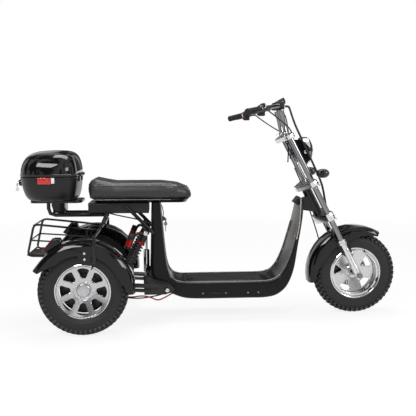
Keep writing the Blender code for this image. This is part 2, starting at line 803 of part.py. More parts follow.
def rear_rim_mesh():
    """Return the deep-dished rear rim; its outer face looks toward -Y."""
    half = REAR_RIM_WIDTH / 2
    inner = REAR_RIM_RADIUS - RIM_WALL
    hub_face = REAR_DISH - half
    hub_back = hub_face + REAR_WEB
    cap_face = hub_face - REAR_CAP_HEIGHT
    profile = [
        (0.0, cap_face), (REAR_CAP_RADIUS * REAR_CAP_SHARE, cap_face), (REAR_CAP_RADIUS, hub_face),
        (REAR_HUB_RADIUS, hub_face), (inner, RIM_WELL - half), (inner, -half),
        (REAR_RIM_RADIUS, -half), (REAR_RIM_RADIUS, half), (inner, half),
        (inner, RIM_WELL - half + REAR_WEB), (REAR_HUB_RADIUS, hub_back),
        (REAR_BOSS_RADIUS, hub_back), (REAR_BOSS_RADIUS, rear_boss_back()), (0.0, rear_boss_back()),
    ]
    outline = arc((REAR_WINDOW_INNER + REAR_WINDOW_ROUND, 0.0), REAR_WINDOW_ROUND, 90, 270, 4)
    outline += [(REAR_WINDOW_OUTER, -REAR_WINDOW_HALF), (REAR_WINDOW_OUTER, REAR_WINDOW_HALF)]
    windows = wheel_windows(outline, -half - OVERRUN, half + OVERRUN, REAR_SPOKES,
                            REAR_WINDOW_PHASE_SHARE)
    return cut(turned(profile, RIM_STEPS), windows)


def front_rim_mesh():
    """Return the deep front rim with a stepped lip; its spokes sit toward +Y."""
    half = FRONT_RIM_WIDTH / 2
    inner = FRONT_RIM_RADIUS - RIM_WALL
    well = inner - WELL_DEPTH
    bore = AXLE_RADIUS + GAP
    web_face = FRONT_DISH - half
    web_back = web_face + FRONT_WEB
    profile = [
        (bore, web_face - FRONT_HUB_REACH), (FRONT_HUB_RADIUS, web_face - FRONT_HUB_REACH),
        (FRONT_HUB_RADIUS, web_face), (well, web_face), (well, RIM_WELL - half),
        (inner, RIM_WELL - half), (inner, -half), (FRONT_RIM_RADIUS, -half),
        (FRONT_RIM_RADIUS, half), (inner, half), (inner, web_back), (bore, web_back),
    ]
    low = FRONT_WINDOW_INNER + FRONT_WINDOW_ROUND
    high = FRONT_WINDOW_OUTER - FRONT_WINDOW_ROUND
    reach = FRONT_WINDOW_HALF - FRONT_WINDOW_ROUND
    outline = arc((low, 0.0), FRONT_WINDOW_ROUND, 110, 250, 2)
    outline += arc((high, -reach), FRONT_WINDOW_ROUND, 270, 360, 2)
    outline += arc((high, reach), FRONT_WINDOW_ROUND, 0, 90, 2)
    windows = wheel_windows(outline, web_face - RIM_WALL, half + OVERRUN, FRONT_SPOKES,
                            FRONT_WINDOW_PHASE_SHARE)
    return cut(revolved(profile, RIM_STEPS), windows)


def disc_mesh():
    """Return the brake disc with its carrier, on the +Y side of the front wheel."""
    half = FRONT_RIM_WIDTH / 2
    low = FRONT_DISH - half + FRONT_WEB + GAP
    disc_y = half + DISC_STEP
    high = disc_y + DISC_THICKNESS
    bore = AXLE_RADIUS + GAP
    return revolved([(bore, low), (DISC_CARRIER_RADIUS, low), (DISC_CARRIER_RADIUS, disc_y),
                     (DISC_RADIUS, disc_y), (DISC_RADIUS, high), (bore, high)], RIM_STEPS)


def guard_mesh(radius, half, outer_skirt, inner_skirt, sweep, taper_share, tail_lift, steps):
    """Return a mudguard round the Y axis: a stepped channel whose skirts taper at both ends."""
    start, end = sweep
    sections = []
    for step in range(steps + 1):
        share = step / steps
        full = min(1.0, share / taper_share, (1 - share) / taper_share)
        low_side = GUARD_END_SKIRT + (inner_skirt - GUARD_END_SKIRT) * full
        high_side = GUARD_END_SKIRT + (outer_skirt - GUARD_END_SKIRT) * full
        top = radius + tail_lift * (step == steps)
        profile = [
            (top - low_side, -half), (top - GUARD_SHOULDER, -half),
            (top - GUARD_SHOULDER_STEP, -half * GUARD_SHOULDER_SHARE),
            (top, -half * GUARD_CROWN_SHARE), (top, half * GUARD_CROWN_SHARE),
            (top - GUARD_SHOULDER_STEP, half * GUARD_SHOULDER_SHARE),
            (top - GUARD_SHOULDER, half), (top - high_side, half),
        ]
        turn = math.radians(start + (end - start) * share)
        sections.append([Vector((reach * math.cos(turn), across, reach * math.sin(turn)))
                         for reach, across in thickened(profile, GUARD_WALL)])
    return loft(sections)


def steering_point(height):
    """Return the point of the steering axis at a height above the floor."""
    return side(HEAD_X - (height - HEAD_Z) * math.tan(RAKE), height)


def leg_point(height, y):
    """Return the point of a fork leg's middle line at a height above the floor."""
    return steering_point(height) + Vector((STEERING_OFFSET / math.cos(RAKE), y, 0.0))


def front_axle_point(y=0.0):
    """Return the point of the front axle at a place across."""
    return leg_point(FRONT_TYRE_RADIUS, y)


def along_axis():
    """Return the unit vector up the steering axis."""
    return Vector((-math.sin(RAKE), 0.0, math.cos(RAKE)))


def ahead_of_axis():
    """Return the unit vector square to the steering axis, forward."""
    return Vector((math.cos(RAKE), 0.0, math.sin(RAKE)))


def leaned(origin, points):
    """Return side-view places of points given as (ahead, along) in the steering axis's lean."""
    places = [origin + ahead_of_axis() * ahead + along_axis() * along for ahead, along in points]
    return [(place.x, place.z) for place in places]


def rounded_box_sections(levels):
    """Return sections of rounded rectangles.

    A level is its height, low x, high x, half width, rear corner and front corner.
    """
    sections = []
    for height, low_x, high_x, half, rear, front in levels:
        ring = []
        for centre_x, centre_y, corner, start in ((high_x - front, half - front, front, 0),
                                                  (low_x + rear, half - rear, rear, 90),
                                                  (low_x + rear, rear - half, rear, 180),
                                                  (high_x - front, front - half, front, 270)):
            ring += [side(x, height, y)
                     for x, y in arc((centre_x, centre_y), corner, start, start + 90, 3)]
        sections.append(ring)
    return sections


def add_rear_wheels(vehicle, looks):
    """Add the two driven wheels, each on an empty on its axle."""
    tyre = tyre_mesh(REAR_TYRE_RADIUS, REAR_TYRE_WIDTH, REAR_RIM_RADIUS, REAR_RIM_WIDTH)
    rim = rear_rim_mesh()
    for name, sign in (("left", 1.0), ("right", -1.0)):
        place = side(0.0, REAR_TYRE_RADIUS, sign * REAR_WHEEL_Y)
        axle = add_empty(f"rear_axle_{name}", vehicle, place)
        add_piece(f"rear_tyre_{name}", tyre.copy(), looks["rubber"], axle)
        add_piece(f"rear_rim_{name}", mirrored(rim) if sign > 0 else rim.copy(), looks["polished"], axle)


def add_front_wheel(steering, looks):
    """Add the front wheel with its brake disc on an empty on its axle."""
    axle = add_empty("front_axle_line", steering, axle_in_steering(), (0.0, RAKE, 0.0))
    tyre = tyre_mesh(FRONT_TYRE_RADIUS, FRONT_TYRE_WIDTH, FRONT_RIM_RADIUS, FRONT_RIM_WIDTH)
    add_piece("front_tyre", tyre, looks["rubber"], axle)
    add_piece("front_rim", front_rim_mesh(), looks["polished"], axle)
    add_piece("front_brake_disc", disc_mesh(), looks["dark_steel"], axle)


def steering_frame():
    """Return the matrix of the steering empty: its Z runs up the steering axis."""
    return Matrix.Translation(steering_point(UPPER_CLAMP_Z)) @ Matrix.Rotation(-RAKE, 4, "Y")


def axle_in_steering():
    """Return the front axle's place in the steering empty's frame."""
    return steering_frame().inverted() @ front_axle_point()


def add_steered(steering, name, mesh, look):
    """Add a piece modelled in the vehicle frame to the steering empty."""
    return add_piece(name, moved(mesh, steering_frame().inverted()), look, steering)


def clamp_mesh(height, thickness, reach):
    """Return one fork clamp, an eye round each leg and a back for the stem."""
    eye = arc((STEERING_OFFSET, FORK_LEG_Y), STANCHION_RADIUS + CLAMP_WALL, 170, -20, 5)
    outline = [(-reach, -STEM_HALF), (-reach, STEM_HALF)] + eye
    outline += [(ahead, -across) for ahead, across in reversed(eye)]
    centre = steering_point(height)
    sections = []
    for level in (-thickness / 2, thickness / 2):
        sections.append([centre + along_axis() * level + ahead_of_axis() * ahead
                         + Vector((0.0, across, 0.0)) for ahead, across in outline])
    return loft(sections)


def leg_mesh(leg_y):
    """Return one fork leg: lug, slider, collar and inner tube in one turned piece."""
    foot = front_axle_point(leg_y)
    top = leg_point(UPPER_CLAMP_Z, leg_y)
    length = (top - foot).length + LEG_TOP_REACH
    collar_low = LEG_COLLAR_RISE - LEG_COLLAR_LENGTH / 2
    collar_high = LEG_COLLAR_RISE + LEG_COLLAR_LENGTH / 2
    profile = [
        (0.0, -LEG_LUG_FALL), (LEG_LUG_RADIUS * LEG_END_SHARE, -LEG_LUG_FALL),
        (LEG_LUG_RADIUS, -LEG_LUG_FALL * LEG_END_SHARE), (LEG_LUG_RADIUS, LEG_LUG_RISE),
        (SLIDER_RADIUS, LEG_LUG_RISE), (SLIDER_RADIUS, collar_low),
        (LEG_COLLAR_RADIUS, collar_low), (LEG_COLLAR_RADIUS, collar_high),
        (STANCHION_RADIUS, collar_high), (STANCHION_RADIUS, length), (0.0, length),
    ]
    leg = aimed(turned(profile, LEG_SIDES), foot, top)
    reach = LEG_LUG_RADIUS + OVERRUN
    bore = rod(front_axle_point(leg_y - reach), front_axle_point(leg_y + reach), AXLE_RADIUS + GAP,
               LEG_SIDES)
    return cut(leg, [bore])


def leg_holes():
    """Return the cutters for the fork legs in the clamps."""
    holes = []
    for leg_y in (FORK_LEG_Y, -FORK_LEG_Y):
        foot = front_axle_point(leg_y)
        top = leg_point(UPPER_CLAMP_Z, leg_y)
        low = LEG_COLLAR_RISE
        high = (top - foot).length + LEG_TOP_REACH + OVERRUN
        hole = STANCHION_RADIUS + GAP
        holes.append(aimed(turned([(0.0, low), (hole, low), (hole, high), (0.0, high)], LEG_SIDES),
                           foot, top))
    return holes


def axle_mesh():
    """Return the front axle with a nut at each end."""
    nut = FORK_LEG_Y + LEG_LUG_RADIUS + GAP
    face = nut + AXLE_NUT_HEIGHT
    parts = [rod(front_axle_point(-face - AXLE_TIP), front_axle_point(face + AXLE_TIP), AXLE_RADIUS,
                 LEG_SIDES)]
    for sign in (1.0, -1.0):
        parts.append(rod(front_axle_point(sign * nut), front_axle_point(sign * face),
                         AXLE_NUT_RADIUS, 6))
    return fused(parts)


def add_fork(steering, looks):
    """Add top clamp, crowns, legs and axle of the fork."""
    stem = rod(steering_point(MIDDLE_CROWN_Z), steering_point(LOWER_CROWN_Z), STEM_RADIUS)
    top_clamp = clamp_mesh(UPPER_CLAMP_Z, UPPER_CLAMP_THICKNESS, UPPER_CLAMP_REACH)
    middle = clamp_mesh(MIDDLE_CROWN_Z, MIDDLE_CROWN_THICKNESS, MIDDLE_CROWN_REACH)
    lower = clamp_mesh(LOWER_CROWN_Z, LOWER_CROWN_THICKNESS, LOWER_CROWN_REACH)
    add_steered(steering, "top_clamp", cut(top_clamp, leg_holes()), looks["aluminium"])
    add_steered(steering, "fork_crowns", cut(fused([stem, middle, lower]), leg_holes()),
                looks["aluminium"])
    for name, sign in (("left", 1.0), ("right", -1.0)):
        add_steered(steering, f"fork_leg_{name}", leg_mesh(sign * FORK_LEG_Y), looks["chrome"])
    add_steered(steering, "front_axle", axle_mesh(), looks["chrome"])


def front_lobe(sign):
    """Return the flat lobe of the front mudguard beside a fork leg."""
    ahead = GUARD_LOBE_AHEAD
    outline = leaned(front_axle_point(), [
        (ahead - GUARD_LOBE_HALF, GUARD_LOBE_TOP), (ahead - GUARD_LOBE_LOW_HALF, GUARD_LOBE_LOW),
        (ahead + GUARD_LOBE_LOW_HALF, GUARD_LOBE_LOW), (ahead + GUARD_LOBE_HALF, GUARD_LOBE_TOP)])
    return side_plate(outline, FRONT_GUARD_HALF - GUARD_WALL, FRONT_GUARD_HALF + GUARD_LOBE_LIFT, sign)


def add_front_guard(steering, looks):
    """Add the front mudguard, fixed to the fork legs."""
    guard = guard_mesh(FRONT_TYRE_RADIUS + FRONT_GUARD_CLEARANCE, FRONT_GUARD_HALF,
                       FRONT_GUARD_SKIRT, FRONT_GUARD_SKIRT, (FRONT_GUARD_START, FRONT_GUARD_END),
                       FRONT_GUARD_TAPER_SHARE, 0.0, GUARD_STEPS)
    parts = [moved(guard, Matrix.Translation(front_axle_point()))]
    bracket = front_axle_point() + along_axis() * GUARD_BRACKET_RISE
    for sign in (1.0, -1.0):
        parts.append(front_lobe(sign))
        inner = bracket + Vector((0.0, sign * (FRONT_GUARD_HALF - GUARD_WALL / 2), 0.0))
        outer = bracket + Vector((0.0, sign * (FORK_LEG_Y - SLIDER_RADIUS - GAP), 0.0))
        parts.append(rod(inner, outer, GUARD_BRACKET_RADIUS))
    add_steered(steering, "front_mudguard", fused(parts), looks["gloss_black"])


def bar_point(back, fall, y):
    """Return a place on the handlebar, measured from its middle."""
    middle = steering_point(UPPER_CLAMP_Z) + Vector((-BAR_BACK, 0.0, BAR_RISE))
    return middle + Vector((-back, y, -fall))


def riser_mesh(sign):
    """Return one riser from the top clamp to the bar."""
    foot = steering_point(UPPER_CLAMP_Z) + ahead_of_axis() * STEERING_OFFSET
    foot += along_axis() * (UPPER_CLAMP_THICKNESS / 2 + GAP) + Vector((0.0, sign * RISER_Y, 0.0))
    head = bar_point(0.0, 0.0, sign * RISER_Y)
    return tube([foot, foot + along_axis() * RISER_FOOT, head], RISER_RADIUS, RISER_FOOT / 3)


def bar_controls(sign):
    """Return the pod, the switch below it and the lever on one side of the bar."""
    inner = bar_point(BAR_SWEEP_BACK, BAR_SWEEP_FALL, sign * BAR_SWEEP_HALF)
    outer = bar_point(BAR_END_BACK, BAR_END_FALL, sign * BAR_END_HALF)
    middle = inner.lerp(outer, LEVER_SHARE)
    pod = rod(inner.lerp(outer, POD_START_SHARE), inner.lerp(outer, POD_END_SHARE), POD_RADIUS,
              ROUND_SIDES)
    switch = rod(middle, middle - Vector((0.0, 0.0, SWITCH_LENGTH)), SWITCH_RADIUS)
    knee = middle + Vector((LEVER_AHEAD, sign * LEVER_OUT, -LEVER_DROP))
    tip = knee + Vector((-LEVER_BACK, sign * LEVER_REACH, 0.0))
    return [pod, switch, tube([middle, knee, tip], LEVER_RADIUS, LEVER_OUT, WIRE_SIDES)]


def display_box():
    """Return the display's side-view corners, low rear and high front."""
    low = bar_point(DISPLAY_BACK, DISPLAY_FALL, 0.0)
    return (low.x, low.z), (low.x + DISPLAY_LENGTH, low.z + DISPLAY_HEIGHT)


def grip_mesh(sign):
    """Return one grip with its flange."""
    inner = bar_point(BAR_END_BACK, BAR_END_FALL, sign * BAR_END_HALF)
    outer = bar_point(GRIP_BACK, GRIP_FALL, sign * GRIP_HALF)
    length = (outer - inner).length
    profile = [(0.0, GAP), (GRIP_FLANGE_RADIUS, GAP), (GRIP_FLANGE_RADIUS, GRIP_FLANGE),
               (GRIP_RADIUS, GRIP_FLANGE), (GRIP_RADIUS, length), (0.0, length)]
    return aimed(turned(profile, ROUND_SIDES), inner, outer)


def add_handlebar(steering, looks):
    """Add risers, bar, display, controls and grips."""
    stations = [(BAR_END_BACK, BAR_END_FALL, BAR_END_HALF), (BAR_SWEEP_BACK, BAR_SWEEP_FALL, BAR_SWEEP_HALF),
                (0.0, 0.0, BAR_CENTRE_HALF)]
    path = [bar_point(*station) for station in stations]
    path += [Vector((point.x, -point.y, point.z)) for point in reversed(path)]
    parts = [tube(path, BAR_RADIUS, BAR_BEND), riser_mesh(1.0), riser_mesh(-1.0)]
    parts.append(plate(spread(DISPLAY_SHARES, *display_box()), -DISPLAY_HALF, DISPLAY_HALF))
    parts += bar_controls(1.0) + bar_controls(-1.0)
    add_steered(steering, "handlebar", fused(parts), looks["chrome"])
    for name, sign in (("left", 1.0), ("right", -1.0)):
        add_steered(steering, f"grip_{name}", grip_mesh(sign), looks["rubber"])


def headlamp_mesh():
    """Return the headlamp with its crossbar and the two plates ahead of the fork legs."""
    centre = leg_point(LAMP_Z, 0.0) + Vector((LAMP_REACH, 0.0, 0.0))
    profile = [(share * LAMP_RADIUS, -depth * LAMP_DEPTH) for share, depth in LAMP_BACK_SHARES]
    profile += [(share * LAMP_RADIUS, depth * LAMP_DOME) for share, depth in LAMP_FRONT_SHARES]
    parts = [aimed(turned(profile, LAMP_SIDES), centre, centre + Vector((1.0, 0.0, 0.0)))]
    bar_place = centre - Vector((LAMP_BAR_BACK, 0.0, 0.0))
    across = Vector((0.0, FORK_LEG_Y, 0.0))
    parts.append(rod(bar_place - across, bar_place + across, LAMP_BAR_RADIUS))
    outline = leaned(leg_point(LAMP_Z, 0.0), [
        (STANCHION_RADIUS + GAP + ahead * LAMP_PLATE_REACH, along * LAMP_PLATE_HEIGHT)
        for along, ahead in LAMP_PLATE_SHARES])
    for sign in (1.0, -1.0):
        parts.append(side_plate(outline, FORK_LEG_Y - LAMP_PLATE_HALF, FORK_LEG_Y + LAMP_PLATE_HALF, sign))
    return fused(parts)


def signal_mesh(sign):
    """Return one turn signal on its stem from the fork leg's side."""
    place = leg_point(SIGNAL_Z, 0.0) + Vector((SIGNAL_REACH, sign * SIGNAL_Y, 0.0))
    profile = [(share * SIGNAL_RADIUS, reach * SIGNAL_LENGTH) for share, reach in SIGNAL_SHARES]
    pod = aimed(turned(profile, ROUND_SIDES), place, place + Vector((1.0, 0.0, 0.0)))
    root = leg_point(SIGNAL_Z - SIGNAL_STEM_DROP, 0.0)
    start = root + Vector((0.0, sign * (FORK_LEG_Y + STANCHION_RADIUS + GAP), 0.0))
    bend = root + Vector((0.0, sign * SIGNAL_STEM_Y, 0.0))
    end = place - Vector((SIGNAL_STEM_BACK, 0.0, 0.0))
    return fused([pod, tube([start, bend, end], SIGNAL_STEM_RADIUS, SIGNAL_STEM_RADIUS)])


def add_lamps(steering, looks):
    """Add headlamp and turn signals."""
    add_steered(steering, "headlamp", headlamp_mesh(), looks["gloss_black"])
    for name, sign in (("left", 1.0), ("right", -1.0)):
        add_steered(steering, f"turn_signal_{name}", signal_mesh(sign), looks["matt_black"])


def add_front_loom(steering, looks):
    """Add the cable bundle from the display to the lower crown."""
    front = display_box()[1][0]
    bar = bar_point(0.0, 0.0, -BAR_RADIUS)
    start = side(front + GAP, bar.z, bar.y)
    crown = steering_point(LOWER_CROWN_Z) + along_axis() * (LOWER_CROWN_THICKNESS / 2 + GAP)
    end = crown + ahead_of_axis() * LOOM_AHEAD - Vector((0.0, LOOM_Y, 0.0))
    path = [start, start + Vector((LOOM_LEAD, 0.0, 0.0)), *LOOM_ROUTE, end + along_axis() * LOOM_LEAD, end]
    add_steered(steering, "front_loom", tube(path, LOOM_RADIUS, LOOM_BEND, LOOM_SIDES), looks["rubber"])


def shield_section(index):
    """Return the front point, rear point and half width of one leg shield section."""
    low = (FLOOR_FRONT_X + GAP, TUB_BOTTOM_Z)
    high = (steering_point(SHIELD_TOP_Z).x - SHIELD_HEAD_REACH, SHIELD_TOP_Z)
    front, rear, half = SHIELD_SHARES[index]
    front_point, rear_point = spread((front, rear), low, high)
    return side(*front_point), side(*rear_point), half * SHIELD_HALF


def shield_groove(index):
    """Return how deep the shield's back is set in at a section, as a share of its thickness."""
    return SHIELD_GROOVE_SHARE * index / (len(SHIELD_SHARES) - 1)


def leg_shield_mesh():
    """Return the leg shield: a curved shell with rounded sides and a set-in back."""
    sections = []
    for index in range(len(SHIELD_SHARES)):
        front, rear, half = shield_section(index)
        shares = list(SHIELD_RING_SHARES) + [(SHIELD_GROOVE_HALF_SHARE, 1 - shield_groove(index))]
        ring = [front.lerp(rear, through) + Vector((0.0, across * half, 0.0))
                for across, through in shares]
        ring += [Vector((point.x, -point.y, point.z)) for point in reversed(ring)]
        sections.append(ring)
    return loft(sections)


def relay_box_outline():
    """Return the side view of the box on the shield's set-in back."""
    faces = []
    for index in (len(SHIELD_SHARES) - 2, len(SHIELD_SHARES) - 1):
        front, rear, _ = shield_section(index)
        faces.append(front.lerp(rear, 1 - shield_groove(index)))
    low, high = faces
    seat = Vector((-GAP, 0.0, 0.0)) * 2
    foot = low.lerp(high, RELAY_LOW_SHARE) + seat
    head = high + seat
    middle = low.lerp(high, RELAY_MIDDLE_SHARE) + seat
    points = [foot, head, head + Vector((-RELAY_TOP_REACH, 0.0, RELAY_TOP_RISE)),
              middle - Vector((RELAY_REACH, 0.0, 0.0))]
    return [(point.x, point.z) for point in points]


def add_steering_head(vehicle, looks):
    """Add the head tube on the frame with the web that runs back into the leg shield."""
    top = steering_point(MIDDLE_CROWN_Z) - along_axis() * (MIDDLE_CROWN_THICKNESS / 2 + GAP)
    bottom = steering_point(LOWER_CROWN_Z) + along_axis() * (LOWER_CROWN_THICKNESS / 2 + GAP)
    tube_body = rod(top, bottom, HEAD_RADIUS, LEG_SIDES)
    seat = Vector((GAP, 0.0, 0.0))
    corners = [steering_point(SHIELD_TOP_Z), shield_section(-1)[0] + seat, shield_section(-2)[0] + seat,
               steering_point(HEAD_Z - HEAD_WEB_DROP)]
    web = plate([(corner.x, corner.z) for corner in corners], -HEAD_WEB_HALF, HEAD_WEB_HALF)
    over = along_axis() * OVERRUN
    bore = rod(top + over, bottom - over, STEM_RADIUS + HEAD_BORE_CLEARANCE, LEG_SIDES)
    add_piece("steering_head", cut(fused([tube_body, web]), [bore]), looks["matt_black"], vehicle)


def floor_mesh():
    """Return the foot deck: a chamfered lip over a tapered tub."""
    lip_z = FLOOR_TOP_Z - FLOOR_LIP
    half_view = [(FLOOR_HALF - FLOOR_EDGE, FLOOR_TOP_Z), (FLOOR_HALF, FLOOR_TOP_Z - FLOOR_EDGE),
                 (FLOOR_HALF, lip_z + FLOOR_EDGE), (FLOOR_HALF - FLOOR_EDGE, lip_z)]
    view = half_view + [(-y, z) for y, z in reversed(half_view)]
    lip = loft([[side(x, z, y) for y, z in view] for x in (FLOOR_REAR_X, FLOOR_FRONT_X)])
    tub = loft([[side(rear, z, -half), side(FLOOR_FRONT_X, z, -half), side(FLOOR_FRONT_X, z, half),
                 side(rear, z, half)]
                for rear, z, half in ((TUB_REAR_X, TUB_BOTTOM_Z, TUB_BOTTOM_HALF),
                                      (TUB_TOP_X, lip_z + TUB_OVERLAP, TUB_HALF))])
    return fused([lip, tub])


def tub_rear_x(height):
    """Return where the tub's sloping rear stands at a height."""
    share = (height - TUB_BOTTOM_Z) / (FLOOR_TOP_Z - FLOOR_LIP + TUB_OVERLAP - TUB_BOTTOM_Z)
    return TUB_REAR_X + (TUB_TOP_X - TUB_REAR_X) * share


def mat_mesh():
    """Return the ribbed mat on the foot deck."""
    half = FLOOR_HALF - MAT_MARGIN
    low = FLOOR_TOP_Z + GAP
    high = low + MAT_THICKNESS
    pitch = 2 * half / MAT_RIBS
    view = []
    for rib in range(MAT_RIBS):
        middle = half - pitch * (rib + 1 / 2)
        reach = pitch * MAT_RIB_SHARE / 2
        view += [(middle + reach, high), (middle - reach, high)]
        if rib < MAT_RIBS - 1:
            floor = high - MAT_RIB_DEPTH
            view += [(middle - reach, floor), (middle - pitch + reach, floor)]
    view += [(-half, high - MAT_RIB_DEPTH), (-half, low), (half, low), (half, high - MAT_RIB_DEPTH)]
    return loft([[side(x, z, y) for y, z in view]
                 for x in (FLOOR_REAR_X + MAT_REAR_MARGIN, FLOOR_FRONT_X - MAT_FRONT_MARGIN)])


def column_mesh():
    """Return the seat column: a box with rounded and grooved sides that sweeps into the floor."""
    insets = {"edge": COLUMN_EDGE, "side": 0.0, "groove": COLUMN_GROOVE}
    low = (COLUMN_REAR_X, TUB_BOTTOM_Z)
    high = (FLOOR_REAR_X - GAP, SEAT_BOTTOM_Z - GAP)
    sections = []
    for places in COLUMN_SHARES:
        front, rear = (side(*place) for place in spread(places, low, high))
        ring = [front.lerp(rear, share) + Vector((0.0, COLUMN_HALF - insets[kind], 0.0))
                for share, kind in COLUMN_RING_SHARES]
        ring += [Vector((point.x, -point.y, point.z)) for point in reversed(ring)]
        sections.append(ring)
    return loft(sections)


def add_body(vehicle, looks):
    """Add floor shell, leg shield, seat column, mat and the box at the head."""
    add_piece("floor_shell", floor_mesh(), looks["satin_black"], vehicle)
    add_piece("leg_shield", leg_shield_mesh(), looks["satin_black"], vehicle)
    add_piece("seat_column", column_mesh(), looks["satin_black"], vehicle)
    add_piece("floor_mat", mat_mesh(), looks["rubber"], vehicle)
    relay = plate(relay_box_outline(), -RELAY_HALF, RELAY_HALF)
    add_piece("relay_box", relay, looks["matt_black"], vehicle)


def cushion_mesh():
    """Return the long cushion with a raised tail and a dropped nose."""
    low = SEAT_BOTTOM_Z + SEAT_BASE_HEIGHT + GAP
    length = SEAT_FRONT_X - SEAT_REAR_X
    sections = []
    for place, width, height, kick, drop in SEAT_SECTION_SHARES:
        rise = (SEAT_TOP_Z - low) * height + SEAT_KICK * kick - SEAT_NOSE_DROP * drop
        ring = [side(SEAT_REAR_X + place * length, low + rise * up, SEAT_HALF * width * across)
                for across, up in SEAT_OUTLINE_SHARES]
        ring += [Vector((point.x, -point.y, point.z)) for point in reversed(ring)]
        sections.append(ring)
    return loft(sections)


def seat_base_mesh():
    """Return the tray under the cushion."""
    levels = []
    for height, pull in ((0.0, SEAT_BASE_INSET), (SEAT_BASE_HEIGHT, 0.0)):
        corner = SEAT_BASE_CORNER - pull
        levels.append((SEAT_BOTTOM_Z + height, SEAT_REAR_X + SEAT_BASE_INSET + pull,
                       SEAT_FRONT_X - SEAT_BASE_INSET - pull, SEAT_BASE_HALF - pull, corner, corner))
    return loft(rounded_box_sections(levels))


def seat_box_mesh():
    """Return the box below the seat with its strap."""
    high = SEAT_BOTTOM_Z - GAP
    outline = [(BOX_REAR_X, BOX_BOTTOM_Z), (BOX_FRONT_X, BOX_BOTTOM_Z), (BOX_FRONT_X, high),
               (BOX_REAR_X, high)]
    reach = BOX_HALF + BOX_STRAP_DEPTH
    strap = block((BOX_STRAP_X, -reach, BOX_BOTTOM_Z + BOX_EDGE),
                  (BOX_STRAP_X + BOX_STRAP_WIDTH, reach, high - BOX_EDGE))
    return fused([slab(outline, BOX_HALF, BOX_EDGE), strap])


def strut_cross_z():
    """Return the height of the tube that carries the shocks' top eyes."""
    return SEAT_BOTTOM_Z - STRUT_CROSS_DROP


def struts_mesh():
    """Return the two diagonal struts with the tube between them."""
    cross_z = strut_cross_z()
    top_z = SEAT_BOTTOM_Z - STRUT_TOP_DROP
    parts = [rod(side(SHOCK_TOP_X, cross_z, STRUT_CROSS_HALF), side(SHOCK_TOP_X, cross_z, -STRUT_CROSS_HALF),
                 STRUT_CROSS_RADIUS)]
    for sign in (1.0, -1.0):
        parts.append(rod(side(STRUT_REAR_X, top_z, sign * STRUT_Y),
                         side(STRUT_FRONT_X, top_z - STRUT_FALL, sign * STRUT_Y), STRUT_RADIUS))
        lug = spread(STRUT_LUG_SHARES, (SHOCK_TOP_X, cross_z),
                     (SHOCK_TOP_X + STRUT_LUG_LENGTH, cross_z + STRUT_LUG_LENGTH))
        parts.append(side_plate(lug, STRUT_Y - STRUT_LUG_HALF, STRUT_Y + STRUT_LUG_HALF, sign))
    return fused(parts)


def add_seat(vehicle, looks):
    """Add seat base, cushion, the box below them and the struts."""
    add_piece("seat_base", seat_base_mesh(), looks["matt_black"], vehicle)
    add_piece("seat_cushion", cushion_mesh(), looks["leather"], vehicle)
    add_piece("underseat_box", seat_box_mesh(), looks["matt_black"], vehicle)
    add_piece("seat_struts", struts_mesh(), looks["matt_black"], vehicle)


def rear_axle_mesh():
    """Return the axle housing: motor in the middle, tubes, and a drum inside each wheel."""
    stub_end = REAR_WHEEL_Y - rear_boss_back() - GAP
    drum_face = stub_end - DRUM_CLEARANCE
    drum_back = drum_face - DRUM_WIDTH
    half = [(MOTOR_RADIUS, MOTOR_Y * MOTOR_FLAT_SHARE), (MOTOR_RADIUS * MOTOR_DOME_SHARE, MOTOR_Y),
            (AXLE_TUBE_RADIUS, AXLE_NECK_Y), (AXLE_TUBE_RADIUS, drum_back),
            (DRUM_RADIUS, drum_back + DRUM_TAPER), (DRUM_RADIUS, drum_face),
            (AXLE_STUB_RADIUS, drum_face), (AXLE_STUB_RADIUS, stub_end), (0.0, stub_end)]
    return turned([(radius, -across) for radius, across in reversed(half)] + half, AXLE_STEPS)


def arms_mesh():
    """Return the arms between axle and pivot, with their gussets, cross tube and shock lugs."""
    axle_z = REAR_TYRE_RADIUS
    cross_y = (COLUMN_HALF + GUSSET_OUTER_Y) / 2
    cross_z = axle_z + ARM_CROSS_RISE
    parts = [rod(side(ARM_CROSS_X, cross_z, cross_y), side(ARM_CROSS_X, cross_z, -cross_y), ARM_RADIUS)]
    gusset = spread(GUSSET_SHARES, (GUSSET_REAR_X, axle_z - GUSSET_LOW_DROP),
                    (GUSSET_FRONT_X, axle_z - GUSSET_LOW_DROP + GUSSET_HEIGHT))
    lug_low = (SHOCK_LOW_X, axle_z + SHOCK_LOW_RISE)
    lug = spread(SHOCK_LUG_SHARES, lug_low, (lug_low[0] + SHOCK_LUG_HALF, lug_low[1] + SHOCK_LUG_HALF))
    for sign in (1.0, -1.0):
        parts.append(rod(side(AXLE_TUBE_RADIUS + GAP, axle_z - ARM_REAR_DROP, sign * ARM_Y),
                         side(ARM_FRONT_X, axle_z - ARM_FRONT_DROP, sign * ARM_PIVOT_Y), ARM_RADIUS))
        parts.append(rod(side(LOWER_ARM_REAR_X, axle_z - LOWER_ARM_REAR_DROP, sign * ARM_Y),
                         side(ARM_FRONT_X, axle_z - LOWER_ARM_FRONT_DROP, sign * ARM_PIVOT_Y),
                         LOWER_ARM_RADIUS))
        parts.append(side_plate(gusset, COLUMN_HALF + GAP, GUSSET_OUTER_Y, sign))
        parts.append(side_plate(lug, ARM_Y - SHOCK_LUG_THICKNESS, ARM_Y, sign))
    return fused(parts)


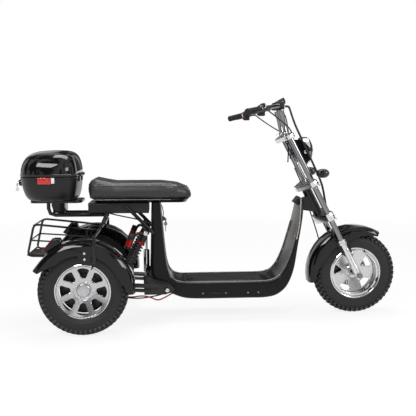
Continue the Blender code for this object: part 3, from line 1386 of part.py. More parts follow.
def shock_core(length):
    """Return the shock's body along +Y: rod, red collar, spring seat and foot."""
    collar = [COLLAR_START_SHARE * length, COLLAR_END_SHARE * length]
    seat = [SPRING_SEAT_SHARE * length, SPRING_SEAT_END_SHARE * length]
    return turned([
        (0.0, EYE_START_SHARE * length), (SHOCK_BODY_RADIUS, EYE_START_SHARE * length),
        (SHOCK_BODY_RADIUS, collar[0]), (SHOCK_COLLAR_RADIUS, collar[0]),
        (SHOCK_COLLAR_RADIUS, collar[1]), (SHOCK_BODY_RADIUS, collar[1]),
        (SHOCK_BODY_RADIUS, seat[0]), (SHOCK_COLLAR_RADIUS, seat[0]), (SHOCK_COLLAR_RADIUS, seat[1]),
        (SHOCK_FOOT_RADIUS, seat[1]), (SHOCK_FOOT_RADIUS, EYE_END_SHARE * length),
        (0.0, EYE_END_SHARE * length)], SHOCK_STEPS)


def coil_mesh(length):
    """Return the coil spring along +Y, its ends sunk into collar and spring seat."""
    low = COLLAR_END_SHARE * length - COIL_SINK
    high = SPRING_SEAT_SHARE * length + COIL_SINK
    count = COIL_TURNS * COIL_STEPS
    points = []
    for step in range(count + 1):
        turn = math.tau * step / COIL_STEPS
        points.append(Vector((COIL_RADIUS * math.cos(turn), low + (high - low) * step / count,
                              COIL_RADIUS * math.sin(turn))))
    return tube(points, COIL_WIRE_RADIUS, 0.0, COIL_SIDES)


def shock_mesh(sign):
    """Return one coil-over shock with its side reservoir."""
    shock_y = sign * SHOCK_Y
    top = side(SHOCK_TOP_X, strut_cross_z(), shock_y)
    bottom = side(SHOCK_LOW_X, REAR_TYRE_RADIUS + SHOCK_LOW_RISE, shock_y)
    length = (bottom - top).length
    parts = [aimed(shock_core(length), top, bottom), aimed(coil_mesh(length), top, bottom)]
    inner = Vector((0.0, sign * (ARM_Y + GAP) - shock_y, 0.0))
    outer = Vector((0.0, sign * SHOCK_EYE_REACH, 0.0))
    parts += [rod(eye + inner, eye + outer, SHOCK_EYE_RADIUS, ROUND_SIDES) for eye in (top, bottom)]
    tank_top = side(RESERVOIR_TOP_X, top.z - RESERVOIR_TOP_DROP, shock_y)
    tank_low = side(RESERVOIR_LOW_X, tank_top.z - RESERVOIR_LENGTH_Z, shock_y)
    parts.append(rod(tank_top, tank_low, RESERVOIR_RADIUS, ROUND_SIDES))
    parts.append(rod(top.lerp(bottom, BRIDGE_SHARE), tank_top.lerp(tank_low, BRIDGE_RESERVOIR_SHARE),
                     BRIDGE_RADIUS))
    return fused(parts)


def damper_mesh():
    """Return the upright damper between the two cross tubes."""
    low = REAR_TYRE_RADIUS + ARM_CROSS_RISE + ARM_RADIUS + GAP
    high = strut_cross_z() - STRUT_CROSS_RADIUS - GAP
    body_low = low + DAMPER_BODY_LOW_SHARE * (high - low)
    body_high = low + DAMPER_BODY_TOP_SHARE * (high - low)
    body = turned([(0.0, low), (DAMPER_ROD_RADIUS, low), (DAMPER_ROD_RADIUS, body_low),
                   (DAMPER_RADIUS, body_low), (DAMPER_RADIUS, body_high), (DAMPER_ROD_RADIUS, body_high),
                   (DAMPER_ROD_RADIUS, high), (0.0, high)], ROUND_SIDES)
    return aimed(body, side(SHOCK_TOP_X, 0.0), side(SHOCK_TOP_X, 1.0))


def add_rear_frame(vehicle, looks):
    """Add the axle housing, the arms and the shocks."""
    add_piece("rear_axle", rear_axle_mesh(), looks["dark_steel"], vehicle, side(0.0, REAR_TYRE_RADIUS))
    add_piece("rear_frame", arms_mesh(), looks["matt_black"], vehicle)
    for name, sign in (("left", 1.0), ("right", -1.0)):
        add_piece(f"shock_{name}", shock_mesh(sign), looks["red"], vehicle)
    add_piece("centre_damper", damper_mesh(), looks["chrome"], vehicle)


def rear_guard_places():
    """Return the distances from the middle of a rear mudguard's inner and outer side."""
    inner = REAR_WHEEL_Y - REAR_TYRE_WIDTH / 2 - REAR_GUARD_INNER_CLEARANCE
    outer = REAR_WHEEL_Y + REAR_TYRE_WIDTH / 2 + REAR_GUARD_OUTER_CLEARANCE
    return inner, outer


def rear_guard_mesh():
    """Return the left rear mudguard with the tab on its outer side."""
    inner, outer = rear_guard_places()
    radius = REAR_TYRE_RADIUS + REAR_GUARD_CLEARANCE
    guard = guard_mesh(radius, (outer - inner) / 2, REAR_GUARD_SKIRT, REAR_GUARD_INNER_SKIRT,
                       (REAR_GUARD_START, REAR_GUARD_END), GUARD_TAPER_SHARE, GUARD_TAIL_LIFT, GUARD_STEPS)
    moved(guard, Matrix.Translation(side(0.0, REAR_TYRE_RADIUS, (outer + inner) / 2)))
    corner = GUARD_TAB_WIDTH / 4
    low_z = REAR_TYRE_RADIUS + radius - GUARD_TAB_DROP
    high_z = REAR_TYRE_RADIUS + radius - REAR_GUARD_SKIRT + GUARD_TAB_OVERLAP
    low_x = GUARD_TAB_X - GUARD_TAB_WIDTH / 2
    high_x = GUARD_TAB_X + GUARD_TAB_WIDTH / 2
    tab = arc((low_x + corner, low_z + corner), corner, 180, 270, 2)
    tab += arc((high_x - corner, low_z + corner), corner, 270, 360, 2)
    tab += [(high_x, high_z), (low_x, high_z)]
    return fused([guard, plate(tab, outer - GUARD_WALL, outer + GUARD_TAB_LIFT)])


def guard_pitch():
    """Return the angle between two sections of a rear mudguard, in degrees."""
    return (REAR_GUARD_END - REAR_GUARD_START) / GUARD_STEPS


def crown_point(angle, height):
    """Return the side-view point a height above the crown of a rear mudguard's flat facets."""
    pitch = guard_pitch()
    aside = math.radians((angle - REAR_GUARD_START) % pitch - pitch / 2)
    radius = REAR_TYRE_RADIUS + REAR_GUARD_CLEARANCE
    reach = radius * math.cos(math.radians(pitch / 2)) / math.cos(aside) + height
    turn = math.radians(angle)
    return reach * math.cos(turn), REAR_TYRE_RADIUS + reach * math.sin(turn)


def tail_lamp_mesh():
    """Return the left wedge lamp, seated on the crown of its mudguard."""
    inner, outer = rear_guard_places()
    pitch = guard_pitch()
    edges = [REAR_GUARD_START + step * pitch for step in range(GUARD_STEPS)]
    angles = [TAIL_LAMP_END, *[edge for edge in reversed(edges) if TAIL_LAMP_START < edge < TAIL_LAMP_END],
              TAIL_LAMP_START]
    outline = [crown_point(angle, GAP) for angle in angles]
    for share, height in TAIL_LAMP_SHARES:
        angle = TAIL_LAMP_END + share * (TAIL_LAMP_START - TAIL_LAMP_END)
        outline.append(crown_point(angle, GAP + height * TAIL_LAMP_HEIGHT))
    middle = (inner + outer) / 2
    return plate(outline, middle - TAIL_LAMP_WIDTH / 2, middle + TAIL_LAMP_WIDTH / 2)


def hoop_mesh():
    """Return the tube across both mudguards with its outer stays and its struts to the box."""
    outer = rear_guard_places()[1] + GAP
    middle_y = outer + HOOP_STAY_THICKNESS / 2
    parts = [rod(side(HOOP_X, HOOP_Z, -middle_y), side(HOOP_X, HOOP_Z, middle_y), HOOP_RADIUS)]
    half = HOOP_STAY_WIDTH / 2
    strut_z = BOX_BOTTOM_Z - GAP
    top_z = HOOP_Z + HOOP_RADIUS / 2
    stay = [(HOOP_X - half, top_z - HOOP_STAY_LENGTH), (HOOP_X + half, top_z - HOOP_STAY_LENGTH),
            (HOOP_X + half, top_z), (HOOP_X - half, top_z)]
    strut = [(HOOP_X - half, HOOP_Z), (HOOP_X + half, HOOP_Z), (HOOP_X + half + HOOP_STRUT_LEAN, strut_z),
             (HOOP_X - half + HOOP_STRUT_LEAN, strut_z)]
    for sign in (1.0, -1.0):
        parts.append(side_plate(stay, outer, outer + HOOP_STAY_THICKNESS, sign))
        parts.append(side_plate(strut, HOOP_STRUT_Y - HOOP_STRUT_WIDTH / 2,
                                HOOP_STRUT_Y + HOOP_STRUT_WIDTH / 2, sign))
    return fused(parts)


def add_rear_guards(vehicle, looks):
    """Add the two rear mudguards, their lamps and the hoop that carries them."""
    guard = rear_guard_mesh()
    lamp = tail_lamp_mesh()
    for name, is_left in (("left", True), ("right", False)):
        add_piece(f"mudguard_{name}", guard.copy() if is_left else mirrored(guard),
                  looks["gloss_black"], vehicle)
        add_piece(f"tail_lamp_{name}", lamp.copy() if is_left else mirrored(lamp), looks["red"], vehicle)
    add_piece("guard_hoop", hoop_mesh(), looks["steel"], vehicle)


def rack_mesh():
    """Return the tray under the top case on its two bent tubes."""
    tray_top = RACK_TRAY_Z + RACK_TRAY_HEIGHT
    tube_z = BOX_BOTTOM_Z - RACK_TUBE_RADIUS - GAP
    levels = [(height, RACK_TRAY_REAR_X, RACK_TRAY_FRONT_X, RACK_TRAY_HALF, RACK_TRAY_CORNER,
               RACK_TRAY_CORNER) for height in (RACK_TRAY_Z, tray_top)]
    parts = [loft(rounded_box_sections(levels))]
    middle_z = RACK_TRAY_Z + RACK_TRAY_HEIGHT / 2
    for sign in (1.0, -1.0):
        y = sign * RACK_TUBE_Y
        parts.append(tube([side(RACK_TUBE_REAR_X, middle_z, y), side(RACK_TUBE_REAR_X, tube_z, y),
                           side(RACK_TUBE_FRONT_X, tube_z, y)], RACK_TUBE_RADIUS, RACK_TUBE_BEND))
    parts.append(rod(side(RACK_CROSS_X, tube_z, -RACK_TUBE_Y), side(RACK_CROSS_X, tube_z, RACK_TUBE_Y),
                     RACK_CROSS_RADIUS))
    parts.append(block((RACK_PANEL_REAR_X, -RACK_PANEL_HALF, tube_z + RACK_TUBE_RADIUS),
                       (RACK_PANEL_REAR_X + RACK_PANEL_LENGTH, RACK_PANEL_HALF, middle_z)))
    return fused(parts)


def basket_side(sign):
    """Return one side of the basket: the long rail, the rail half way down and the post."""
    y = sign * BASKET_HALF
    rear_top = side(BASKET_REAR_X, HOOP_Z + BASKET_RISE, y)
    rear_low = side(BASKET_REAR_X - BASKET_LEAN, rear_top.z - BASKET_DEPTH, y)
    front_low = side(BASKET_BOTTOM_FRONT_X, rear_low.z - BASKET_BOTTOM_FALL, y)
    front_top = side(BASKET_POST_X, HOOP_Z, y)
    rail = tube([side(HOOP_X - HOOP_RADIUS - GAP, HOOP_Z, y), side(BASKET_FRONT_X, HOOP_Z, y), rear_top,
                 rear_low, front_low], BASKET_RAIL_RADIUS, BASKET_BEND, BASKET_SIDES)
    middle = rod(rear_top.lerp(rear_low, BASKET_MID_SHARE), front_top.lerp(front_low, BASKET_MID_SHARE),
                 BASKET_WIRE_RADIUS, WIRE_SIDES)
    post = rod(front_top, front_low, BASKET_WIRE_RADIUS, WIRE_SIDES)
    return [rail, middle, post]


def basket_mesh():
    """Return the wire basket hung behind the hoop."""
    rear_top = (BASKET_REAR_X, HOOP_Z + BASKET_RISE)
    rear_low = (BASKET_REAR_X - BASKET_LEAN, rear_top[1] - BASKET_DEPTH)
    front_low = (BASKET_BOTTOM_FRONT_X, rear_low[1] - BASKET_BOTTOM_FALL)
    front_top = (BASKET_POST_X, HOOP_Z)
    bars = [front_low, front_top]
    bars += spread(((0.04, 0.04), (BASKET_MID_SHARE, BASKET_MID_SHARE), (0.97, 0.97)), rear_top, rear_low)
    parts = basket_side(1.0) + basket_side(-1.0)
    for x, z in bars:
        parts.append(rod(side(x, z, -BASKET_HALF), side(x, z, BASKET_HALF), BASKET_WIRE_RADIUS, WIRE_SIDES))
    for slat in range(BASKET_SLATS):
        y = BASKET_HALF * (2 * (slat + 1) / (BASKET_SLATS + 1) - 1)
        parts.append(rod(side(*rear_low, y), side(*front_low, y), BASKET_WIRE_RADIUS, WIRE_SIDES))
    return fused(parts)


def add_carriers(vehicle, looks):
    """Add the rack of the top case and the wire basket below it."""
    add_piece("case_rack", rack_mesh(), looks["matt_black"], vehicle)
    add_piece("basket", basket_mesh(), looks["matt_black"], vehicle)


def case_levels(rows, low_z, height, lip):
    """Return the levels of a case half from its rows of shares."""
    length = CASE_FRONT_X - CASE_REAR_X
    return [(low_z + share * height, CASE_REAR_X + rear * length - lip,
             CASE_FRONT_X - front * length + lip, CASE_HALF * half + lip, CASE_CORNER * corner,
             CASE_FRONT_CORNER * corner) for share, rear, front, half, corner in rows]


def walled(level, height):
    """Return a case level pulled in by the wall, at a height of its own."""
    _, low_x, high_x, half, rear, front = level
    return (height, low_x + CASE_WALL, high_x - CASE_WALL, half - CASE_WALL, rear - CASE_WALL,
            front - CASE_WALL)


def case_base_mesh():
    """Return the hollow base of the top case with its latch."""
    levels = case_levels(CASE_BASE_SHARES, CASE_BASE_Z, CASE_BASE_HEIGHT, 0.0)
    hollow = [walled(level, level[0] + CASE_WALL * (1 - row[0]))
              for level, row in zip(levels, CASE_BASE_SHARES)]
    hollow.append(walled(levels[-1], levels[-1][0] + OVERRUN))
    base = cut(loft(rounded_box_sections(levels)), [loft(rounded_box_sections(hollow))])
    latch_z = CASE_BASE_Z + CASE_BASE_HEIGHT - LATCH_DROP
    latch = rod(side(CASE_REAR_X + LATCH_SINK, latch_z), side(CASE_REAR_X - LATCH_REACH, latch_z),
                LATCH_RADIUS, ROUND_SIDES)
    return fused([base, latch])


def hinge_point():
    """Return the lid's hinge axis in side view."""
    return side(CASE_FRONT_X + HINGE_REACH, CASE_BASE_Z + CASE_BASE_HEIGHT + HINGE_RISE)


def case_lid_mesh():
    """Return the hollow lid of the top case with the lug on its hinge."""
    low_z = CASE_BASE_Z + CASE_BASE_HEIGHT + GAP
    levels = case_levels(CASE_LID_SHARES, low_z, CASE_LID_HEIGHT, CASE_LID_LIP)
    hollow = [walled(levels[0], levels[0][0] - OVERRUN)]
    hollow += [walled(level, level[0] - CASE_WALL * row[0]) for level, row in zip(levels, CASE_LID_SHARES)]
    lid = cut(loft(rounded_box_sections(levels)), [loft(rounded_box_sections(hollow))])
    lug_place = hinge_point() + Vector((-HINGE_LUG_BACK, 0.0, HINGE_LUG_RISE))
    across = Vector((0.0, HINGE_HALF, 0.0))
    return fused([lid, rod(lug_place - across, lug_place + across, HINGE_LUG_RADIUS)])


def add_case(vehicle, looks):
    """Add the hollow base of the top case and its hinged lid."""
    add_piece("case_base", case_base_mesh(), looks["matt_black"], vehicle)
    hinge = add_empty("lid_hinge", vehicle, hinge_point())
    lid = moved(case_lid_mesh(), Matrix.Translation(-hinge_point()))
    add_piece("case_lid", lid, looks["gloss_black"], hinge)


def add_lead(vehicle, looks):
    """Add the red lead, held at the motor and at the floor."""
    turn = math.radians(LEAD_START_ANGLE)
    way = Vector((math.cos(turn), 0.0, math.sin(turn)))
    start = side(0.0, REAR_TYRE_RADIUS, -LEAD_START_Y) + way * (MOTOR_RADIUS + GAP)
    end_z = TUB_BOTTOM_Z + LEAD_RISE
    end = side(tub_rear_x(end_z + LEAD_RADIUS) - GAP, end_z, LEAD_ROUTE[-1][1])
    path = [start, start + way * LEAD_RISE, *LEAD_ROUTE, end]
    add_piece("red_lead", tube(path, LEAD_RADIUS, LEAD_BEND, LEAD_SIDES), looks["red"], vehicle)


def build():
    """Model the whole tricycle."""
    clear_scene()
    looks = {
        "rubber": material("rubber", (0.03, 0.03, 0.03), 0.75, 0.0),
        "polished": material("polished_aluminium", (0.75, 0.75, 0.76), 0.18, 1.0),
        "chrome": material("chrome", (0.85, 0.85, 0.86), 0.08, 1.0),
        "aluminium": material("aluminium", (0.65, 0.65, 0.66), 0.30, 1.0),
        "steel": material("grey_steel", (0.30, 0.30, 0.31), 0.40, 1.0),
        "dark_steel": material("dark_steel", (0.06, 0.06, 0.065), 0.45, 0.8),
        "gloss_black": material("gloss_black", (0.008, 0.008, 0.008), 0.06, 0.0),
        "satin_black": material("satin_black", (0.02, 0.02, 0.021), 0.28, 0.0),
        "matt_black": material("matt_black", (0.02, 0.02, 0.02), 0.50, 0.0),
        "leather": material("black_leather", (0.025, 0.025, 0.027), 0.45, 0.0),
        "red": material("red", (0.60, 0.02, 0.02), 0.30, 0.0),
    }
    vehicle = add_empty("vehicle", None, (REAR_AXLE_X, 0.0, 0.0))
    add_rear_wheels(vehicle, looks)
    add_rear_frame(vehicle, looks)
    add_rear_guards(vehicle, looks)
    add_carriers(vehicle, looks)
    add_case(vehicle, looks)
    add_seat(vehicle, looks)
    add_body(vehicle, looks)
    add_steering_head(vehicle, looks)
    add_lead(vehicle, looks)
    steering = add_empty("steering", vehicle, steering_point(UPPER_CLAMP_Z), (0.0, -RAKE, 0.0))
    add_fork(steering, looks)
    add_front_guard(steering, looks)
    add_handlebar(steering, looks)
    add_lamps(steering, looks)
    add_front_loom(steering, looks)
    add_front_wheel(steering, looks)


build()
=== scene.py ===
"""Looks of the electric tricycle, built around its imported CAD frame.

Each sub-assembly is a class that holds its sizes, builds its meshes and dresses them.
Lengths are metres in the world of the frame: +X forward, +Y to the left, +Z up.
"""

import json
import logging
import math
from collections.abc import Callable
from dataclasses import dataclass, field
from enum import Enum

import bmesh
import bpy
from mathutils import Matrix, Vector
from mathutils.bvhtree import BVHTree

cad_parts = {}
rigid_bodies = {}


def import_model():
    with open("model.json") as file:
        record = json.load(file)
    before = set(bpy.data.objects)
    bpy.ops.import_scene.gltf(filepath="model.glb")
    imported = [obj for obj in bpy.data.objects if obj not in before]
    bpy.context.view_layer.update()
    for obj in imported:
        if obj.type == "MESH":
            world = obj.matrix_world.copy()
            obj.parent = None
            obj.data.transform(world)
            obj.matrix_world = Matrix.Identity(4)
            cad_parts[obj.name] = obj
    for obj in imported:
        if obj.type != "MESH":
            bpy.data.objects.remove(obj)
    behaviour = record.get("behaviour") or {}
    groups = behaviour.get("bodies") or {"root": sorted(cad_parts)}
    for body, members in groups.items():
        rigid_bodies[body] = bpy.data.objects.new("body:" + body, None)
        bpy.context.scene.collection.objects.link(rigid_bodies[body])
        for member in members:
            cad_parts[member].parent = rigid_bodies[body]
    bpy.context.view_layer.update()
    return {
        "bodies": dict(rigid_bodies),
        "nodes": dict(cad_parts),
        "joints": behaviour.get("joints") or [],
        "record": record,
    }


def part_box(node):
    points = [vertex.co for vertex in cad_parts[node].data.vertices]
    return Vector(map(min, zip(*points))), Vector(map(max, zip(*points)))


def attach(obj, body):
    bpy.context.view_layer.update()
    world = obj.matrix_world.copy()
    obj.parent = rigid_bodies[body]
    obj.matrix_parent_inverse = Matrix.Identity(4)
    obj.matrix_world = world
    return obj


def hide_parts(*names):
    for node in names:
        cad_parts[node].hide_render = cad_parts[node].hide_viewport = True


LOG = logging.getLogger("tricycle")
Point = tuple[float, float, float]
Profile = list[tuple[float, float]]
Body = bmesh.types.BMesh
SIDES = ((1.0, "left"), (-1.0, "right"))


class Relief(Enum):
    """What raises the surface of a finish."""

    NONE = "none"
    NOISE = "noise"
    CELLS = "cells"


@dataclass(frozen=True)
class Finish:
    """One surface finish: a colour, how it shines, and the pattern that breaks it up."""

    name: str
    slot: str
    colour: Point
    roughness: float
    metallic: float = 0.0
    coat: float = 0.0
    spread: float = 0.12
    shine_spread: float = 0.05
    scale: float = 90.0
    relief: Relief = Relief.NONE
    bump: float = 0.2
    bump_depth: float = 0.0002
    dust: float = 0.0
    specular: float = 0.5

    def build(self) -> bpy.types.Material:
        """Make the material.

        Returns:
            A Principled material with its pattern on Object coordinates.
        """
        material = bpy.data.materials.new(self.name)
        material.use_nodes = True
        nodes = material.node_tree.nodes
        links = material.node_tree.links
        shader = nodes["Principled BSDF"]
        shader.inputs["Metallic"].default_value = self.metallic
        shader.inputs["Specular IOR Level"].default_value = self.specular
        shader.inputs["Coat Weight"].default_value = self.coat
        shader.inputs["Coat Roughness"].default_value = 0.03
        place = nodes.new("ShaderNodeTexCoord")
        noise = nodes.new("ShaderNodeTexNoise")
        noise.inputs["Scale"].default_value = self.scale
        noise.inputs["Detail"].default_value = 5.0
        links.new(place.outputs["Object"], noise.inputs["Vector"])
        tint = nodes.new("ShaderNodeMix")
        tint.data_type = "RGBA"
        dark = tuple(max(part * (1.0 - self.spread), 0.0) for part in self.colour)
        light = tuple(min(part * (1.0 + self.spread) + self.dust, 1.0) for part in self.colour)
        tint.inputs["A"].default_value = (*dark, 1.0)
        tint.inputs["B"].default_value = (*light, 1.0)
        links.new(noise.outputs["Fac"], tint.inputs["Factor"])
        links.new(tint.outputs["Result"], shader.inputs["Base Color"])
        broad = nodes.new("ShaderNodeTexNoise")
        broad.inputs["Scale"].default_value = 9.0
        broad.inputs["Detail"].default_value = 3.0
        links.new(place.outputs["Object"], broad.inputs["Vector"])
        shine = nodes.new("ShaderNodeMapRange")
        shine.inputs["To Min"].default_value = max(self.roughness - self.shine_spread, 0.02)
        shine.inputs["To Max"].default_value = min(self.roughness + self.shine_spread, 1.0)
        links.new(broad.outputs["Fac"], shine.inputs["Value"])
        links.new(shine.outputs["Result"], shader.inputs["Roughness"])
        if self.relief is not Relief.NONE:
            raised = nodes.new("ShaderNodeBump")
            raised.inputs["Strength"].default_value = self.bump
            raised.inputs["Distance"].default_value = self.bump_depth
            source = noise.outputs["Fac"]
            if self.relief is Relief.CELLS:
                cells = nodes.new("ShaderNodeTexVoronoi")
                cells.feature = "DISTANCE_TO_EDGE"
                cells.inputs["Scale"].default_value = self.scale
                links.new(place.outputs["Object"], cells.inputs["Vector"])
                source = cells.outputs["Distance"]
            links.new(source, raised.inputs["Height"])
            links.new(raised.outputs["Normal"], shader.inputs["Normal"])
        return material


NOISE = Relief.NOISE
CELLS = Relief.CELLS
FINISHES = (
    Finish("tyre", "tyre", (0.013, 0.013, 0.013), 0.58, spread=0.35, scale=240.0, relief=NOISE,
        bump=0.3, dust=0.004, specular=0.3),
    Finish("tyre_lug", "tyre", (0.012, 0.012, 0.013), 0.46, spread=0.35, scale=200.0, relief=NOISE,
        bump=0.3, dust=0.006, specular=0.4),
    Finish("rubber", "rubber", (0.011, 0.011, 0.012), 0.5, spread=0.3, scale=320.0, relief=NOISE,
        bump=0.25, specular=0.3),
    Finish("polished_alloy", "polished_alloy", (0.7, 0.7, 0.71), 0.22, metallic=1.0, spread=0.1,
        scale=140.0, relief=NOISE, bump=0.03),
    Finish("wheel_alloy", "polished_alloy", (0.54, 0.54, 0.55), 0.2, metallic=1.0, spread=0.14,
        shine_spread=0.08, scale=90.0, relief=NOISE, bump=0.05),
    Finish("front_alloy", "polished_alloy", (0.62, 0.62, 0.62), 0.22, metallic=1.0, spread=0.1,
        shine_spread=0.08, scale=90.0, relief=NOISE, bump=0.03),
    Finish("aluminium", "aluminium", (0.52, 0.52, 0.53), 0.3, metallic=1.0, spread=0.1, scale=260.0,
        relief=NOISE, bump=0.06),
    Finish("chrome", "chrome", (0.66, 0.66, 0.67), 0.07, metallic=1.0, spread=0.06, shine_spread=0.03),
    Finish("fork_chrome", "chrome", (0.25, 0.25, 0.26), 0.1, metallic=1.0, spread=0.12,
        shine_spread=0.05, scale=160.0),
    Finish("dark_steel", "dark_steel", (0.04, 0.04, 0.043), 0.4, metallic=0.6, spread=0.3,
        scale=180.0, relief=NOISE, bump=0.2, specular=0.4),
    Finish("grey_steel", "grey_steel", (0.22, 0.22, 0.23), 0.34, metallic=1.0, spread=0.14, scale=200.0,
        relief=NOISE, bump=0.06),
    Finish("black_frame", "black_frame", (0.008, 0.008, 0.008), 0.26, coat=0.15, spread=0.2,
        scale=420.0, relief=NOISE, bump=0.08, specular=0.3),
    Finish("gloss_black", "gloss_black", (0.004, 0.004, 0.005), 0.07, coat=0.32, spread=0.2,
        shine_spread=0.02, scale=700.0, relief=NOISE, bump=0.012, specular=0.18),
    Finish("gloss_plastic", "gloss_plastic", (0.005, 0.005, 0.006), 0.13, coat=0.3, spread=0.2,
        shine_spread=0.04, scale=600.0, relief=NOISE, bump=0.02, specular=0.3),
    Finish("tub_plastic", "gloss_plastic", (0.005, 0.005, 0.006), 0.24, coat=0.05, spread=0.2,
        shine_spread=0.05, scale=600.0, relief=NOISE, bump=0.03, specular=0.15),
    # Grey bead finish, far lighter than the black tub plastic: its light colour is a painted highlight
    # along the tub's edges.
    Finish("tub_bead", "gloss_plastic", (0.085, 0.085, 0.087), 0.2, coat=0.7, spread=0.2,
        shine_spread=0.04, scale=600.0, relief=NOISE, bump=0.02),
    Finish("satin_plastic", "satin_plastic", (0.009, 0.009, 0.01), 0.34, spread=0.2,
        scale=500.0, relief=NOISE, bump=0.08, specular=0.3),
    Finish("matt_plastic", "matt_plastic", (0.014, 0.014, 0.015), 0.5, spread=0.25, scale=620.0,
        relief=NOISE, bump=0.3, specular=0.3),
    Finish("lining", "matt_plastic", (0.06, 0.06, 0.062), 0.75, spread=0.2, scale=300.0, relief=NOISE,
        bump=0.3),
    Finish("beige_plastic", "matt_plastic", (0.34, 0.29, 0.25), 0.4, spread=0.08, scale=620.0,
        relief=NOISE, bump=0.15),
    Finish("leather", "leather", (0.021, 0.021, 0.022), 0.4, spread=0.25, scale=520.0, relief=CELLS,
        bump=0.35, bump_depth=0.0004, specular=0.42),
    Finish("piping", "leather", (0.02, 0.02, 0.021), 0.32, spread=0.2, scale=700.0, relief=NOISE),
    Finish("red_anodised", "red_anodised", (0.36, 0.01, 0.008), 0.26, metallic=0.8, spread=0.14),
    Finish("red_lens", "red_lens", (0.46, 0.012, 0.008), 0.12, coat=0.5, spread=0.12, relief=CELLS,
        scale=260.0, bump=0.25),
    Finish("red_lead", "red_lead", (0.5, 0.018, 0.014), 0.4, spread=0.15, scale=300.0, relief=NOISE),
    Finish("red_button", "red_lens", (0.5, 0.012, 0.01), 0.3, spread=0.1, scale=300.0),
    Finish("lamp_glass", "chrome", (0.82, 0.83, 0.84), 0.05, coat=0.6, spread=0.06, scale=160.0,
        relief=CELLS, bump=0.25),
    Finish("smoked_lens", "matt_plastic", (0.012, 0.009, 0.007), 0.14, coat=0.3, spread=0.2,
        relief=CELLS, scale=300.0, bump=0.25),
    Finish("white_reflector", "chrome", (0.66, 0.66, 0.64), 0.18, coat=0.4, spread=0.1, relief=CELLS,
        scale=420.0, bump=0.3),
    Finish("dark_glass", "gloss_plastic", (0.003, 0.004, 0.005), 0.05, coat=0.6, spread=0.2,
        shine_spread=0.02),
)


@dataclass
class Palette:
    """Every finish as a material, by name."""

    materials: dict[str, bpy.types.Material]
    slots: dict[str, str]

    @classmethod
    def mix(cls) -> "Palette":
        """Build all finishes.

        Returns:
            The palette.
        """
        return cls({finish.name: finish.build() for finish in FINISHES},
            {finish.name: finish.slot for finish in FINISHES})


